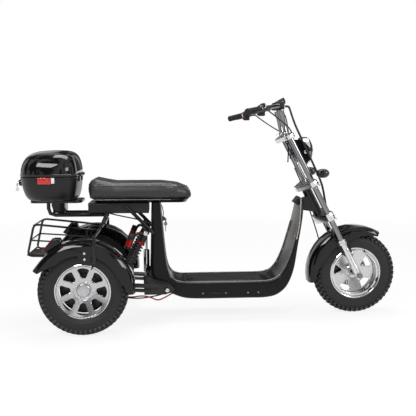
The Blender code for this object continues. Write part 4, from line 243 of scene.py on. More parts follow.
class Forge:
    """Small bmesh jobs that the sub-assemblies share."""

    @staticmethod
    def spin(profile: Profile, steps: int, closed: bool = False) -> Body:
        """Turn an outline of (radius, across) round the Y axis.

        Args:
            profile: The outline's points; an open one starts and ends at radius zero.
            steps: How many facets go round.
            closed: Whether the outline's last point joins its first.

        Returns:
            The turned body.
        """
        bm = bmesh.new()
        points = [bm.verts.new((radius, across, 0.0)) for radius, across in profile]
        edges = [bm.edges.new(pair) for pair in zip(points, points[1:])]
        if closed:
            edges.append(bm.edges.new((points[-1], points[0])))
        bmesh.ops.spin(bm, geom=points + edges, axis=(0, 1, 0), cent=(0, 0, 0), angle=math.tau,
            steps=steps, use_merge=True)
        bmesh.ops.remove_doubles(bm, verts=bm.verts, dist=1e-6)
        bmesh.ops.recalc_face_normals(bm, faces=bm.faces)
        return bm

    @staticmethod
    def add(bm: Body, *others: Body) -> Body:
        """Put other bodies into one bmesh and free them.

        Args:
            bm: The body that takes them in.
            others: What it takes in.

        Returns:
            The same bmesh.
        """
        for other in others:
            mesh = bpy.data.meshes.new("loose")
            other.to_mesh(mesh)
            other.free()
            bm.from_mesh(mesh)
            bpy.data.meshes.remove(mesh)
        return bm

    @staticmethod
    def scattered(template: Body, places: list[Matrix]) -> Body:
        """Return copies of a body at several places, and free the body.

        Args:
            template: The body.
            places: A matrix for each copy.

        Returns:
            All copies in one bmesh.
        """
        mesh = bpy.data.meshes.new("template")
        template.to_mesh(mesh)
        template.free()
        bm = bmesh.new()
        for place in places:
            copy = mesh.copy()
            copy.transform(place)
            bm.from_mesh(copy)
            bpy.data.meshes.remove(copy)
        bpy.data.meshes.remove(mesh)
        return bm

    @staticmethod
    def moved(bm: Body, matrix: Matrix) -> Body:
        """Move a whole body by a matrix and keep its faces outward.

        Args:
            bm: The body.
            matrix: Where it goes.

        Returns:
            The same bmesh.
        """
        bmesh.ops.transform(bm, matrix=matrix, verts=bm.verts)
        if matrix.determinant() < 0:
            bmesh.ops.reverse_faces(bm, faces=bm.faces)
        return bm

    @staticmethod
    def along(start: Vector, end: Vector) -> Matrix:
        """Return the matrix that stands +Y on the line from start to end.

        Args:
            start: The line's start.
            end: Its end.

        Returns:
            The matrix.
        """
        way = Vector(end) - Vector(start)
        turn = Vector((0.0, 1.0, 0.0)).rotation_difference(way).to_matrix().to_4x4()
        return Matrix.Translation(start) @ turn

    @classmethod
    def turned(cls, profile: Profile, start: Vector, end: Vector, steps: int = 32,
            closed: bool = False) -> Body:
        """Turn an outline round the line from start to end, measured from start."""
        return cls.moved(cls.spin(profile, steps, closed), cls.along(start, end))

    @classmethod
    def bar(cls, start: Vector, end: Vector, radius: float, steps: int = 20,
            edge: float = 0.0008) -> Body:
        """Return a round bar between two points with its end edges rounded.

        Args:
            start: The middle of one end.
            end: The middle of the other.
            radius: Its radius.
            steps: How many facets go round.
            edge: How far its end edges are rounded.

        Returns:
            The bar.
        """
        length = (Vector(end) - Vector(start)).length
        edge = min(edge, radius / 3, length / 3)
        profile = [(0.0, 0.0), (radius - edge, 0.0), (radius, edge), (radius, length - edge),
            (radius - edge, length), (0.0, length)]
        return cls.turned(profile, start, end, steps)

    @staticmethod
    def box(low: Point, high: Point, edge: float = 0.0, segments: int = 2) -> Body:
        """Return a box between two corners with rounded edges.

        Args:
            low: The lower corner.
            high: The upper corner.
            edge: How far its edges are rounded.
            segments: In how many steps they are rounded.

        Returns:
            The box.
        """
        bm = bmesh.new()
        size = Vector(high) - Vector(low)
        middle = (Vector(high) + Vector(low)) / 2
        bmesh.ops.create_cube(bm, size=1.0)
        bmesh.ops.transform(bm, matrix=Matrix.Translation(middle)
            @ Matrix.Diagonal((*size, 1.0)), verts=bm.verts)
        if edge:
            bmesh.ops.bevel(bm, geom=bm.edges, offset=edge, segments=segments, profile=0.5,
                affect="EDGES", material=-1)
        return bm

    @staticmethod
    def path(points: list, bend: float, steps: int = 5) -> list[Vector]:
        """Round the corners of a path.

        Args:
            points: Its corners.
            bend: How far from a corner the curve starts.
            steps: How many pieces a curve has.

        Returns:
            The points along it.
        """
        corners = [Vector(point) for point in points]
        way = [corners[0]]
        for before, corner, after in zip(corners, corners[1:], corners[2:]):
            reach = min(bend, (before - corner).length / 2, (after - corner).length / 2)
            start = corner + (before - corner).normalized() * reach
            end = corner + (after - corner).normalized() * reach
            for step in range(steps + 1):
                share = step / steps
                way.append(start.lerp(corner, share).lerp(corner.lerp(end, share), share))
        way.append(corners[-1])
        return way

    @staticmethod
    def sweep(way: list, radius: float, sides: int = 12, flat: float = 1.0,
            closed: bool = False) -> Body:
        """Carry a circle along a way, one extrusion after another.

        Args:
            way: The points along it.
            radius: The circle's radius.
            sides: How many sides the circle has.
            flat: How much thinner it is one way.
            closed: Whether the way's last point joins its first.

        Returns:
            The swept body.
        """
        way = [Vector(point) for point in way]
        count = len(way)
        bm = bmesh.new()
        ring = bmesh.ops.create_circle(bm, cap_ends=not closed, segments=sides, radius=1.0)["verts"]
        shape = [vert.co.copy() for vert in ring]
        across = None
        first = ring
        for index, place in enumerate(way):
            before = way[index - 1] if closed or index else way[0]
            after = way[(index + 1) % count] if closed or index < count - 1 else way[-1]
            ahead = (after - before).normalized()
            across = ahead.orthogonal() if across is None else across
            across = (across - ahead * across.dot(ahead)).normalized()
            other = ahead.cross(across)
            if index:
                edges = [edge for edge in bm.edges if edge.verts[0] in ring and edge.verts[1] in ring]
                grown = bmesh.ops.extrude_edge_only(bm, edges=edges)["geom"]
                fresh = [item for item in grown if isinstance(item, bmesh.types.BMVert)]
                ring = Forge.in_order(ring, fresh)
            for vert, flat_place in zip(ring, shape):
                vert.co = place + (across * flat_place.x + other * flat_place.y * flat) * radius
        if closed:
            rims = [edge for edge in bm.edges if edge.is_boundary]
            bmesh.ops.bridge_loops(bm, edges=rims)
        else:
            bm.faces.new(ring)
        bmesh.ops.recalc_face_normals(bm, faces=bm.faces)
        return bm

    @staticmethod
    def in_order(ring: list, fresh: list) -> list:
        """Return freshly extruded vertices in the order of the ring that they grew from.

        Args:
            ring: The older ring, in order.
            fresh: The new vertices.

        Returns:
            The new ring, in order.
        """
        new = set(fresh)
        result = []
        for vert in ring:
            result += [edge.other_vert(vert) for edge in vert.link_edges
                if edge.other_vert(vert) in new]
        return result

    @staticmethod
    def smooth(rows: list[tuple[float, ...]], steps: int) -> list[tuple[float, ...]]:
        """Run a smooth curve through rows of numbers.

        Args:
            rows: The rows.
            steps: How many pieces each stretch gets.

        Returns:
            The finer rows.
        """
        padded = [rows[0], *rows, rows[-1]]
        result = []
        for index in range(len(rows) - 1):
            one, two, three, four = padded[index:index + 4]
            for step in range(steps):
                t = step / steps
                result.append(tuple(
                    0.5 * (2 * b + (c - a) * t + (2 * a - 5 * b + 4 * c - d) * t * t
                        + (3 * b - a - 3 * c + d) * t ** 3)
                    for a, b, c, d in zip(one, two, three, four)))
        result.append(tuple(rows[-1]))
        return result

    @staticmethod
    def loft(rings: list[list[Vector]]) -> Body:
        """Join rings of points one after another and close both ends.

        Args:
            rings: The rings, each with the same number of points.

        Returns:
            The closed body.
        """
        bm = bmesh.new()
        loops = []
        for points in rings:
            ring = [bm.verts.new(point) for point in points]
            loops.append(([bm.edges.new((ring[k], ring[(k + 1) % len(ring)]))
                for k in range(len(ring))], ring))
        for (one, _), (two, _) in zip(loops, loops[1:]):
            bmesh.ops.bridge_loops(bm, edges=one + two)
        bm.faces.new(loops[0][1])
        bm.faces.new(loops[-1][1])
        bmesh.ops.recalc_face_normals(bm, faces=bm.faces)
        return bm

    @classmethod
    def windowed(cls, inner: float, outer: float, window: Profile, turns: list[Matrix],
            height: Callable[[float], float], thick: float) -> Body:
        """Return a wheel's web with one window in each of its equal sectors.

        Args:
            inner: The web's inner radius.
            outer: Its outer radius.
            window: The window's points (x, z), round its middle on the X axis.
            turns: The turn of each sector.
            height: Gives how far across the web's face is at a radius.
            thick: The web's thickness.

        Returns:
            The web.
        """
        half = math.pi / len(turns)
        edge = [(inner, half * (step / 4 - 1)) for step in range(8)]
        edge += [(inner + (outer - inner) * step / 3, half) for step in range(3)]
        edge += [(outer, half * (1 - step / 4)) for step in range(8)]
        edge += [(outer + (inner - outer) * step / 3, -half) for step in range(3)]
        points = [(radius * math.cos(turn), radius * math.sin(turn)) for radius, turn in edge]
        bm = bmesh.new()
        edges = []
        for ring in (points, window):
            verts = [bm.verts.new((x, height(math.hypot(x, z)), z)) for x, z in ring]
            edges += [bm.edges.new((verts[k], verts[(k + 1) % len(verts)])) for k in range(len(verts))]
        bmesh.ops.bridge_loops(bm, edges=edges)
        bm = cls.scattered(bm, turns)
        bmesh.ops.remove_doubles(bm, verts=bm.verts, dist=1e-5)
        bmesh.ops.recalc_face_normals(bm, faces=bm.faces)
        bmesh.ops.solidify(bm, geom=bm.faces, thickness=thick)
        return bm

    @classmethod
    def bolt(cls, place: Vector, way: Vector, radius: float, height: float, sides: int = 6) -> Body:
        """Return a hex head on a washer, standing on a place along a way.

        Args:
            place: Where it stands.
            way: Where its head looks.
            radius: The head's radius.
            height: The head's height.
            sides: How many sides the head has.

        Returns:
            The bolt.
        """
        way = Vector(way).normalized()
        place = Vector(place)
        washer = cls.turned([(0.0, 0.0), (radius * 1.35, 0.0), (radius * 1.35, height * 0.22),
            (radius * 1.2, height * 0.3), (0.0, height * 0.3)], place, place + way, 20)
        head = cls.turned([(0.0, height * 0.3), (radius, height * 0.3), (radius, height * 0.85),
            (radius * 0.82, height), (0.0, height)], place, place + way, sides)
        return cls.add(washer, head)

    @classmethod
    def screw(cls, place: Vector, way: Vector, radius: float) -> Body:
        """Return a round screw head with a socket, standing on a place along a way.

        Args:
            place: Where it stands.
            way: Where its head looks.
            radius: The head's radius.

        Returns:
            The screw head.
        """
        height = radius * 0.55
        profile = [(0.0, 0.0), (radius, 0.0), (radius, height * 0.45), (radius * 0.8, height * 0.85),
            (radius * 0.5, height), (radius * 0.42, height), (radius * 0.38, height * 0.4),
            (0.0, height * 0.4)]
        place = Vector(place)
        return cls.turned(profile, place, place + Vector(way), 20)


@dataclass
class Bench:
    """Where finished meshes become pieces that ride on the frame's bodies."""

    frame: dict
    palette: Palette

    def put(self, name: str, bm: Body, finish: str, body: str, angle: float = 35.0,
            stands_for: tuple[str, ...] = ()) -> bpy.types.Object:
        """Make a bmesh a piece.

        Args:
            name: The piece's name.
            bm: Its shape, which is freed.
            finish: The name of its finish.
            body: The body that it rides on.
            angle: Edges sharper than this stay sharp.
            stands_for: The CAD nodes that it replaces.

        Returns:
            The piece.
        """
        mesh = bpy.data.meshes.new(name)
        bm.to_mesh(mesh)
        bm.free()
        mesh.materials.append(self.palette.materials[finish])
        mesh.shade_smooth()
        mesh.set_sharp_from_angle(angle=math.radians(angle))
        piece = bpy.data.objects.new(name, mesh)
        bpy.context.scene.collection.objects.link(piece)
        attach(piece, body)
        if stands_for:
            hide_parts(*stands_for)
        LOG.info("%s: %d faces in %s on %s", name, len(mesh.polygons), finish, body)
        return piece

    def copy_of(self, node: str) -> Body:
        """Return a CAD node's shape with its doubles merged and its flat faces whole.

        Args:
            node: The node.

        Returns:
            The copy.
        """
        bm = bmesh.new()
        bm.from_mesh(self.frame["nodes"][node].data)
        bmesh.ops.remove_doubles(bm, verts=bm.verts, dist=1e-5)
        bmesh.ops.dissolve_limit(bm, angle_limit=math.radians(1.0), verts=bm.verts, edges=bm.edges,
            delimit=set())
        return bm

    def tree(self, node: str) -> BVHTree:
        """Return a search tree over a CAD node's surface.

        Args:
            node: The node.

        Returns:
            The tree.
        """
        bm = self.copy_of(node)
        found = BVHTree.FromBMesh(bm)
        bm.free()
        return found

    def eased(self, node: str, finish: str, width: float, body: str, angle: float = 35.0) -> None:
        """Put a copy of a CAD node in its place with rounded edges.

        Args:
            node: The node.
            finish: The name of its finish.
            width: How far its edges are rounded.
            body: The body that it rides on.
            angle: Edges sharper than this are rounded.
        """
        bm = self.copy_of(node)
        sharp = [edge for edge in bm.edges if len(edge.link_faces) == 2
            and edge.calc_face_angle(0.0) > math.radians(angle)]
        bmesh.ops.bevel(bm, geom=sharp, offset=width, segments=2, profile=0.5, affect="EDGES",
            material=-1, clamp_overlap=True)
        self.put(f"{node}_shown", bm, finish, body, angle, (node,))

    def dress(self, node: str, finish: str) -> None:
        """Give a CAD node that stays a finish.

        Args:
            node: The node.
            finish: The name of its finish.
        """
        mesh = self.frame["nodes"][node].data
        mesh.materials.clear()
        mesh.materials.append(self.palette.materials[finish])
        LOG.info("%s in %s", node, finish)

    def dress_all(self) -> None:
        """Give every CAD node the finish of its slot."""
        for entry in self.frame["record"]["subparts"]:
            self.dress(entry["node"], entry["material_slot"])


@dataclass
class Stage:
    """The white floor, the plain world and the soft lamps."""

    floor_half: float = 30.0
    floor_grey: float = 0.85
    white_near: float = 0.86
    near: float = 1.6
    far: float = 5.0
    band_dark: float = 0.06
    world_grey: float = 0.8
    world_strength: float = 0.42

    @staticmethod
    def seen_rays(nodes: bpy.types.Nodes, links: bpy.types.NodeLinks) -> bpy.types.NodeSocket:
        """Return a value that is one for rays that show the background: camera, glossy, clear.

        Args:
            nodes: The nodes to add to.
            links: Their links.

        Returns:
            The socket that gives the value.
        """
        path = nodes.new("ShaderNodeLightPath")
        value = path.outputs["Is Camera Ray"]
        for other in ("Is Glossy Ray", "Is Transmission Ray"):
            either = nodes.new("ShaderNodeMath")
            either.operation = "MAXIMUM"
            links.new(value, either.inputs[0])
            links.new(path.outputs[other], either.inputs[1])
            value = either.outputs["Value"]
        return value

    def floor(self) -> None:
        """Lay the floor, which shows white with the object's soft shadow."""
        bm = bmesh.new()
        bmesh.ops.create_grid(bm, x_segments=1, y_segments=1, size=self.floor_half)
        mesh = bpy.data.meshes.new("floor")
        bm.to_mesh(mesh)
        bm.free()
        floor = bpy.data.objects.new("floor", mesh)
        bpy.context.scene.collection.objects.link(floor)
        material = bpy.data.materials.new("floor")
        material.use_nodes = True
        nodes = material.node_tree.nodes
        links = material.node_tree.links
        shader = nodes["Principled BSDF"]
        shader.inputs["Base Color"].default_value = (self.floor_grey,) * 3 + (1.0,)
        shader.inputs["Roughness"].default_value = 0.9
        white = nodes.new("ShaderNodeEmission")
        place = nodes.new("ShaderNodeTexCoord")
        reach = nodes.new("ShaderNodeVectorMath")
        reach.operation = "LENGTH"
        links.new(place.outputs["Object"], reach.inputs[0])
        fade = nodes.new("ShaderNodeMapRange")
        fade.inputs["From Min"].default_value = self.near
        fade.inputs["From Max"].default_value = self.far
        fade.inputs["To Min"].default_value = self.white_near
        fade.inputs["To Max"].default_value = 1.0
        links.new(reach.outputs["Value"], fade.inputs["Value"])
        share = nodes.new("ShaderNodeMath")
        share.operation = "MULTIPLY"
        links.new(fade.outputs["Result"], share.inputs[1])
        links.new(self.seen_rays(nodes, links), share.inputs[0])
        both = nodes.new("ShaderNodeMixShader")
        links.new(share.outputs["Value"], both.inputs["Fac"])
        links.new(shader.outputs["BSDF"], both.inputs[1])
        links.new(white.outputs["Emission"], both.inputs[2])
        links.new(both.outputs["Shader"], nodes["Material Output"].inputs["Surface"])
        mesh.materials.append(material)

    def bands(self, nodes: bpy.types.Nodes, links: bpy.types.NodeLinks) -> bpy.types.NodeSocket:
        """Return white, with the upright dark gaps of a studio's screens where metal looks.

        Args:
            nodes: The nodes to add to.
            links: Their links.

        Returns:
            The socket that gives the colour.
        """
        place = nodes.new("ShaderNodeTexCoord")
        stretch = nodes.new("ShaderNodeMapping")
        stretch.inputs["Scale"].default_value = (3.4, 3.4, 0.8)
        links.new(place.outputs["Generated"], stretch.inputs["Vector"])
        noise = nodes.new("ShaderNodeTexNoise")
        noise.inputs["Scale"].default_value = 1.0
        noise.inputs["Detail"].default_value = 1.0
        links.new(stretch.outputs["Vector"], noise.inputs["Vector"])
        step = nodes.new("ShaderNodeMapRange")
        step.inputs["From Min"].default_value = 0.49
        step.inputs["From Max"].default_value = 0.56
        step.inputs["To Min"].default_value = self.band_dark
        links.new(noise.outputs["Fac"], step.inputs["Value"])
        path = nodes.new("ShaderNodeLightPath")
        mix = nodes.new("ShaderNodeMix")
        mix.data_type = "RGBA"
        mix.inputs["A"].default_value = (1.0, 1.0, 1.0, 1.0)
        links.new(step.outputs["Result"], mix.inputs["B"])
        links.new(path.outputs["Is Glossy Ray"], mix.inputs["Factor"])
        return mix.outputs["Result"]

    def world(self) -> None:
        """Light evenly, and show white to the camera, to metal and through glass."""
        world = bpy.data.worlds.new("studio")
        bpy.context.scene.world = world
        world.use_nodes = True
        nodes = world.node_tree.nodes
        links = world.node_tree.links
        nodes.clear()
        output = nodes.new("ShaderNodeOutputWorld")
        soft = nodes.new("ShaderNodeBackground")
        soft.inputs["Color"].default_value = (self.world_grey,) * 3 + (1.0,)
        soft.inputs["Strength"].default_value = self.world_strength
        white = nodes.new("ShaderNodeBackground")
        links.new(self.bands(nodes, links), white.inputs["Color"])
        both = nodes.new("ShaderNodeMixShader")
        links.new(self.seen_rays(nodes, links), both.inputs["Fac"])
        links.new(soft.outputs["Background"], both.inputs[1])
        links.new(white.outputs["Background"], both.inputs[2])
        links.new(both.outputs["Shader"], output.inputs["Surface"])

    @staticmethod
    def lamp(name: str, place: Point, target: Point, size: float, power: float) -> None:
        """Hang one soft lamp.

        Args:
            name: The lamp's name.
            place: Where it hangs.
            target: What it points at.
            size: Its width.
            power: Its power in watts.
        """
        data = bpy.data.lights.new(name, "AREA")
        data.shape = "RECTANGLE"
        data.size = size
        data.size_y = size * 0.6
        data.energy = power
        lamp = bpy.data.objects.new(name, data)
        bpy.context.scene.collection.objects.link(lamp)
        lamp.location = place
        lamp.rotation_euler = (Vector(target) - Vector(place)).to_track_quat("-Z", "Y").to_euler()

    def build(self) -> None:
        """Set up the whole stage."""
        self.floor()
        self.world()
        self.lamp("key", (-2.2, -3.2, 3.6), (0.0, 0.0, 0.5), 2.2, 130.0)
        self.lamp("fill", (3.4, -2.6, 2.4), (0.2, 0.0, 0.5), 1.8, 70.0)
        self.lamp("top", (0.0, 0.4, 4.0), (0.0, 0.0, 0.4), 2.6, 110.0)
        bpy.context.scene.view_settings.view_transform = "Standard"


@dataclass
class PhotoCamera:
    """The camera at the photograph's place, with its angle and lens."""

    place: Point = (-0.268, -3.22, 0.921)
    pitch_down: float = 5.92
    yaw: float = 4.54
    lens: float = 52.05
    sensor: float = 36.0

    def build(self) -> None:
        """Set the scene's camera."""
        data = bpy.data.cameras.new("photo_camera")
        data.lens = self.lens
        data.sensor_width = self.sensor
        camera = bpy.data.objects.new("photo_camera", data)
        bpy.context.scene.collection.objects.link(camera)
        camera.location = self.place
        camera.rotation_euler = (math.radians(90.0 - self.pitch_down), 0.0, -math.radians(self.yaw))
        bpy.context.scene.camera = camera


@dataclass(frozen=True)
class LugRow:
    """One row of tread blocks on both sides of the middle."""

    across: float
    long: float
    wide: float
    high: float
    phase: float
    slant: float = 0.0


@dataclass
class Tyre:
    """A tyre: a turned carcass with rings on its sidewalls, and its tread blocks."""

    node: str
    body: str
    centre: Vector
    radius: float
    half: float
    rim_radius: float
    rim_half: float
    depth: float
    count: int
    rows: tuple[LugRow, ...]
    shares: tuple[tuple[float, float], ...] = (
        (0.0, 0.0), (0.1, 0.35), (0.26, 0.86), (0.275, 0.915), (0.3, 0.915), (0.315, 0.9),
        (0.42, 0.985), (0.43, 1.015), (0.445, 1.015), (0.46, 0.995), (0.6, 0.985), (0.74, 0.92),
        (0.84, 0.82), (0.92, 0.66), (0.965, 0.45), (0.99, 0.22), (1.0, 0.0))

    def section(self) -> Profile:
        """Return one half of the carcass's section, from its bead to its crown.

        Returns:
            The points (radius, across).
        """
        crown = self.radius - self.depth
        bulge = self.half - 0.0025 - self.rim_half
        return [(self.rim_radius + 0.0006 + high * (crown - self.rim_radius),
            self.rim_half + out * bulge if out > 0 and high < 0.5 else (self.half - 0.0025) * out
            if high >= 0.5 else self.rim_half) for high, out in self.shares]

    def carcass(self) -> Body:
        """Return the tyre without its tread blocks.

        Returns:
            The carcass.
        """
        right = self.section()
        left = [(radius, -across) for radius, across in reversed(right[:-1])]
        return Forge.spin(right + left, 120, True)

    def seat_of(self, across: float) -> tuple[float, float]:
        """Return the carcass's radius at a place across the tread, and how its surface leans.

        Args:
            across: How far from the middle.

        Returns:
            The radius, and the lean in radians.
        """
        tread = [point for point in self.section() if point[0] > self.rim_radius * 1.2][::-1]
        for inner, outer in zip(tread, tread[1:]):
            if inner[1] <= across <= outer[1]:
                share = (across - inner[1]) / max(outer[1] - inner[1], 1e-6)
                lean = math.atan2(inner[0] - outer[0], outer[1] - inner[1])
                return inner[0] + share * (outer[0] - inner[0]), lean
        return tread[-1][0], math.radians(70.0)

    def row_blocks(self, row: LugRow) -> Body:
        """Return all blocks of one row.

        Args:
            row: The row.

        Returns:
            The blocks.
        """
        places = []
        radius, lean = self.seat_of(row.across)
        for number in range(self.count):
            for sign in (1.0, -1.0):
                turn = math.tau * (number + row.phase + (0.5 if sign < 0 else 0.0)) / self.count
                places.append(Matrix.Rotation(turn, 4, "Y")
                    @ Matrix.Translation((0.0, sign * row.across, radius))
                    @ Matrix.Rotation(-sign * lean, 4, "X") @ Matrix.Rotation(sign * row.slant, 4, "Z"))
        block = Forge.box((-row.long / 2, -row.wide / 2, -0.002),
            (row.long / 2, row.wide / 2, row.high), 0.0014, 1)
        for vert in block.verts:
            if vert.co.z > 0:
                vert.co.x *= 0.86
                vert.co.y *= 0.88
        return Forge.scattered(block, places)

    def build(self, bench: Bench) -> None:
        """Make the tyre's pieces.

        Args:
            bench: The bench.
        """
        place = Matrix.Translation(self.centre)
        bench.put(f"{self.node}_carcass", Forge.moved(self.carcass(), place), "tyre", self.body, 40.0,
            (self.node,))
        blocks = bmesh.new()
        Forge.add(blocks, *(self.row_blocks(row) for row in self.rows))
        bench.put(f"{self.node}_blocks", Forge.moved(blocks, place), "tyre_lug", self.body, 30.0)
        stem = Forge.bar((0.0, 0.0, 0.0), (0.0, -0.024, 0.0), 0.0032)
        stem = Forge.moved(stem, place @ Matrix.Rotation(math.radians(-68.0), 4, "Y")
            @ Matrix.Translation((self.rim_radius - 0.012, -self.rim_half + 0.012, 0.0)))
        bench.put(f"{self.node}_valve", stem, "rubber", self.body)


@dataclass
class RearWheel:
    """A rear rim: beaded windows, bright lip, bolts and cap. Its outer face looks along `out`."""

    side: str
    out: float
    centre: Vector
    lip_radius: float = 0.1335
    hub_radius: float = 0.056
    hub_face: float = 0.006
    well_face: float = 0.032
    bolt_circle: float = 0.0465
    bolt_angles: tuple[float, ...] = (68.0, 158.0, 248.0, 338.0)
    window_inner: float = 0.061
    window_outer: float = 0.1145
    window_half: float = 0.0295
    window_round: float = 0.018
    windows: int = 8
    phase: float = 0.04
    web: float = 0.008

    def placed(self, bm: Body) -> Body:
        """Move a body from the wheel's own frame, whose +Y looks outward, to its place."""
        turn = Matrix.Diagonal((1.0, self.out, 1.0, 1.0))
        return Forge.moved(bm, Matrix.Translation(self.centre) @ turn)

    def face_at(self, radius: float) -> float:
        """Return how far out the spokes' face is at a radius."""
        share = (radius - self.hub_radius) / (self.lip_radius - 0.005 - self.hub_radius)
        return self.hub_face + max(share, 0.0) * (self.well_face - self.hub_face)

    def window(self) -> Profile:
        """Return the points (x, z) round one window.

        Returns:
            The points.
        """
        points = []
        outer = self.window_outer
        half = self.window_half
        for step in range(9):
            angle = math.radians(90.0 + 180.0 * step / 8)
            points.append((self.window_inner + self.window_round * (1.0 + math.cos(angle)),
                self.window_round * math.sin(angle)))
        corner = 0.007
        points += [(outer - corner * 2, -half + 0.002), (outer - corner, -half),
            (outer - 0.001, -half + corner), (outer + 0.003, -0.01), (outer + 0.004, 0.0),
            (outer + 0.003, 0.01), (outer - 0.001, half - corner), (outer - corner, half),
            (outer - corner * 2, half - 0.002)]
        return points

    def build(self, bench: Bench) -> None:
        """Make the wheel's pieces.

        Args:
            bench: The bench.
        """
        body = f"rear_wheel_{self.side}"
        node = f"rear_rim_{self.side}"
        far = self.lip_radius
        turns = [Matrix.Rotation(math.tau * (number + self.phase) / self.windows, 4, "Y")
            for number in range(self.windows)]
        rim = Forge.windowed(0.052, far - 0.006, self.window(), turns, self.face_at, self.web)
        Forge.add(rim, Forge.spin([(far, -0.042), (far, 0.042), (far - 0.005, 0.042),
            (far - 0.0062, 0.034), (far - 0.0062, -0.034), (far - 0.005, -0.042)], 128, True),
            Forge.spin([(0.0, self.hub_face), (0.0545, self.hub_face), (0.056, self.hub_face - 0.0015),
            (0.056, -0.004), (0.044, -0.006), (0.044, -0.0158), (0.0, -0.0158)], 64))
        bench.put(f"{node}_shown", self.placed(rim), "wheel_alloy", body, 35.0, (node,))
        lip = [(far - 0.0068, 0.0345), (far - 0.0062, 0.0405), (far - 0.0045, 0.043),
            (far - 0.0015, 0.0438), (far + 0.0012, 0.0425), (far + 0.0016, 0.04), (far - 0.001, 0.038),
            (far - 0.0022, 0.0345)]
        rings = Forge.spin(lip, 128, True)
        step = [(far - 0.0105, 0.031), (far - 0.01, 0.035), (far - 0.0065, 0.0355),
            (far - 0.0052, 0.031)]
        Forge.add(rings, Forge.spin(step, 128, True))
        bench.put(f"{node}_lip", self.placed(rings), "chrome", body, 40.0)
        edge = [Vector((x, self.face_at(math.hypot(x, z)) + 0.0004, z)) for x, z in self.window()]
        loop = Forge.sweep(edge, 0.0013, 6, closed=True)
        bench.put(f"{node}_window_beads", self.placed(Forge.scattered(loop, turns)), "chrome", body,
            60.0)
        cap = [(0.0, 0.0205), (0.012, 0.02), (0.0125, 0.019), (0.0215, 0.0182), (0.0225, 0.0192),
            (0.029, 0.018), (0.0325, 0.015), (0.0335, 0.011), (0.0335, 0.004), (0.0, 0.004)]
        bench.put(f"{node}_cap", self.placed(Forge.spin(cap, 64)), "aluminium", body, 30.0)
        ring = [(0.034, 0.005), (0.034, 0.009), (0.0352, 0.01), (0.0372, 0.01), (0.0384, 0.0088),
            (0.0384, 0.005)]
        bolts = Forge.spin(ring, 64, True)
        for angle in self.bolt_angles:
            turn = math.radians(angle)
            place = Vector((math.cos(turn), 0.0, math.sin(turn))) * self.bolt_circle
            place.y = self.hub_face - 0.0004
            Forge.add(bolts, Forge.bolt(place, Vector((0.0, 1.0, 0.0)), 0.0058, 0.0085))
        bench.put(f"{node}_bolts", self.placed(bolts), "chrome", body, 30.0)
        # A dark steel disc behind the windows: painted shade, standing in for the shadow inside the
        # wheel's barrel where the windows show dark.
        shield = Forge.spin([(0.0, -0.04), (0.119, -0.04), (0.121, -0.036), (0.121, -0.03),
            (0.117, -0.029), (0.114, -0.034), (0.0, -0.034)], 64)
        bench.put(f"brake_shield_{self.side}", self.placed(shield), "dark_steel", "chassis", 30.0)


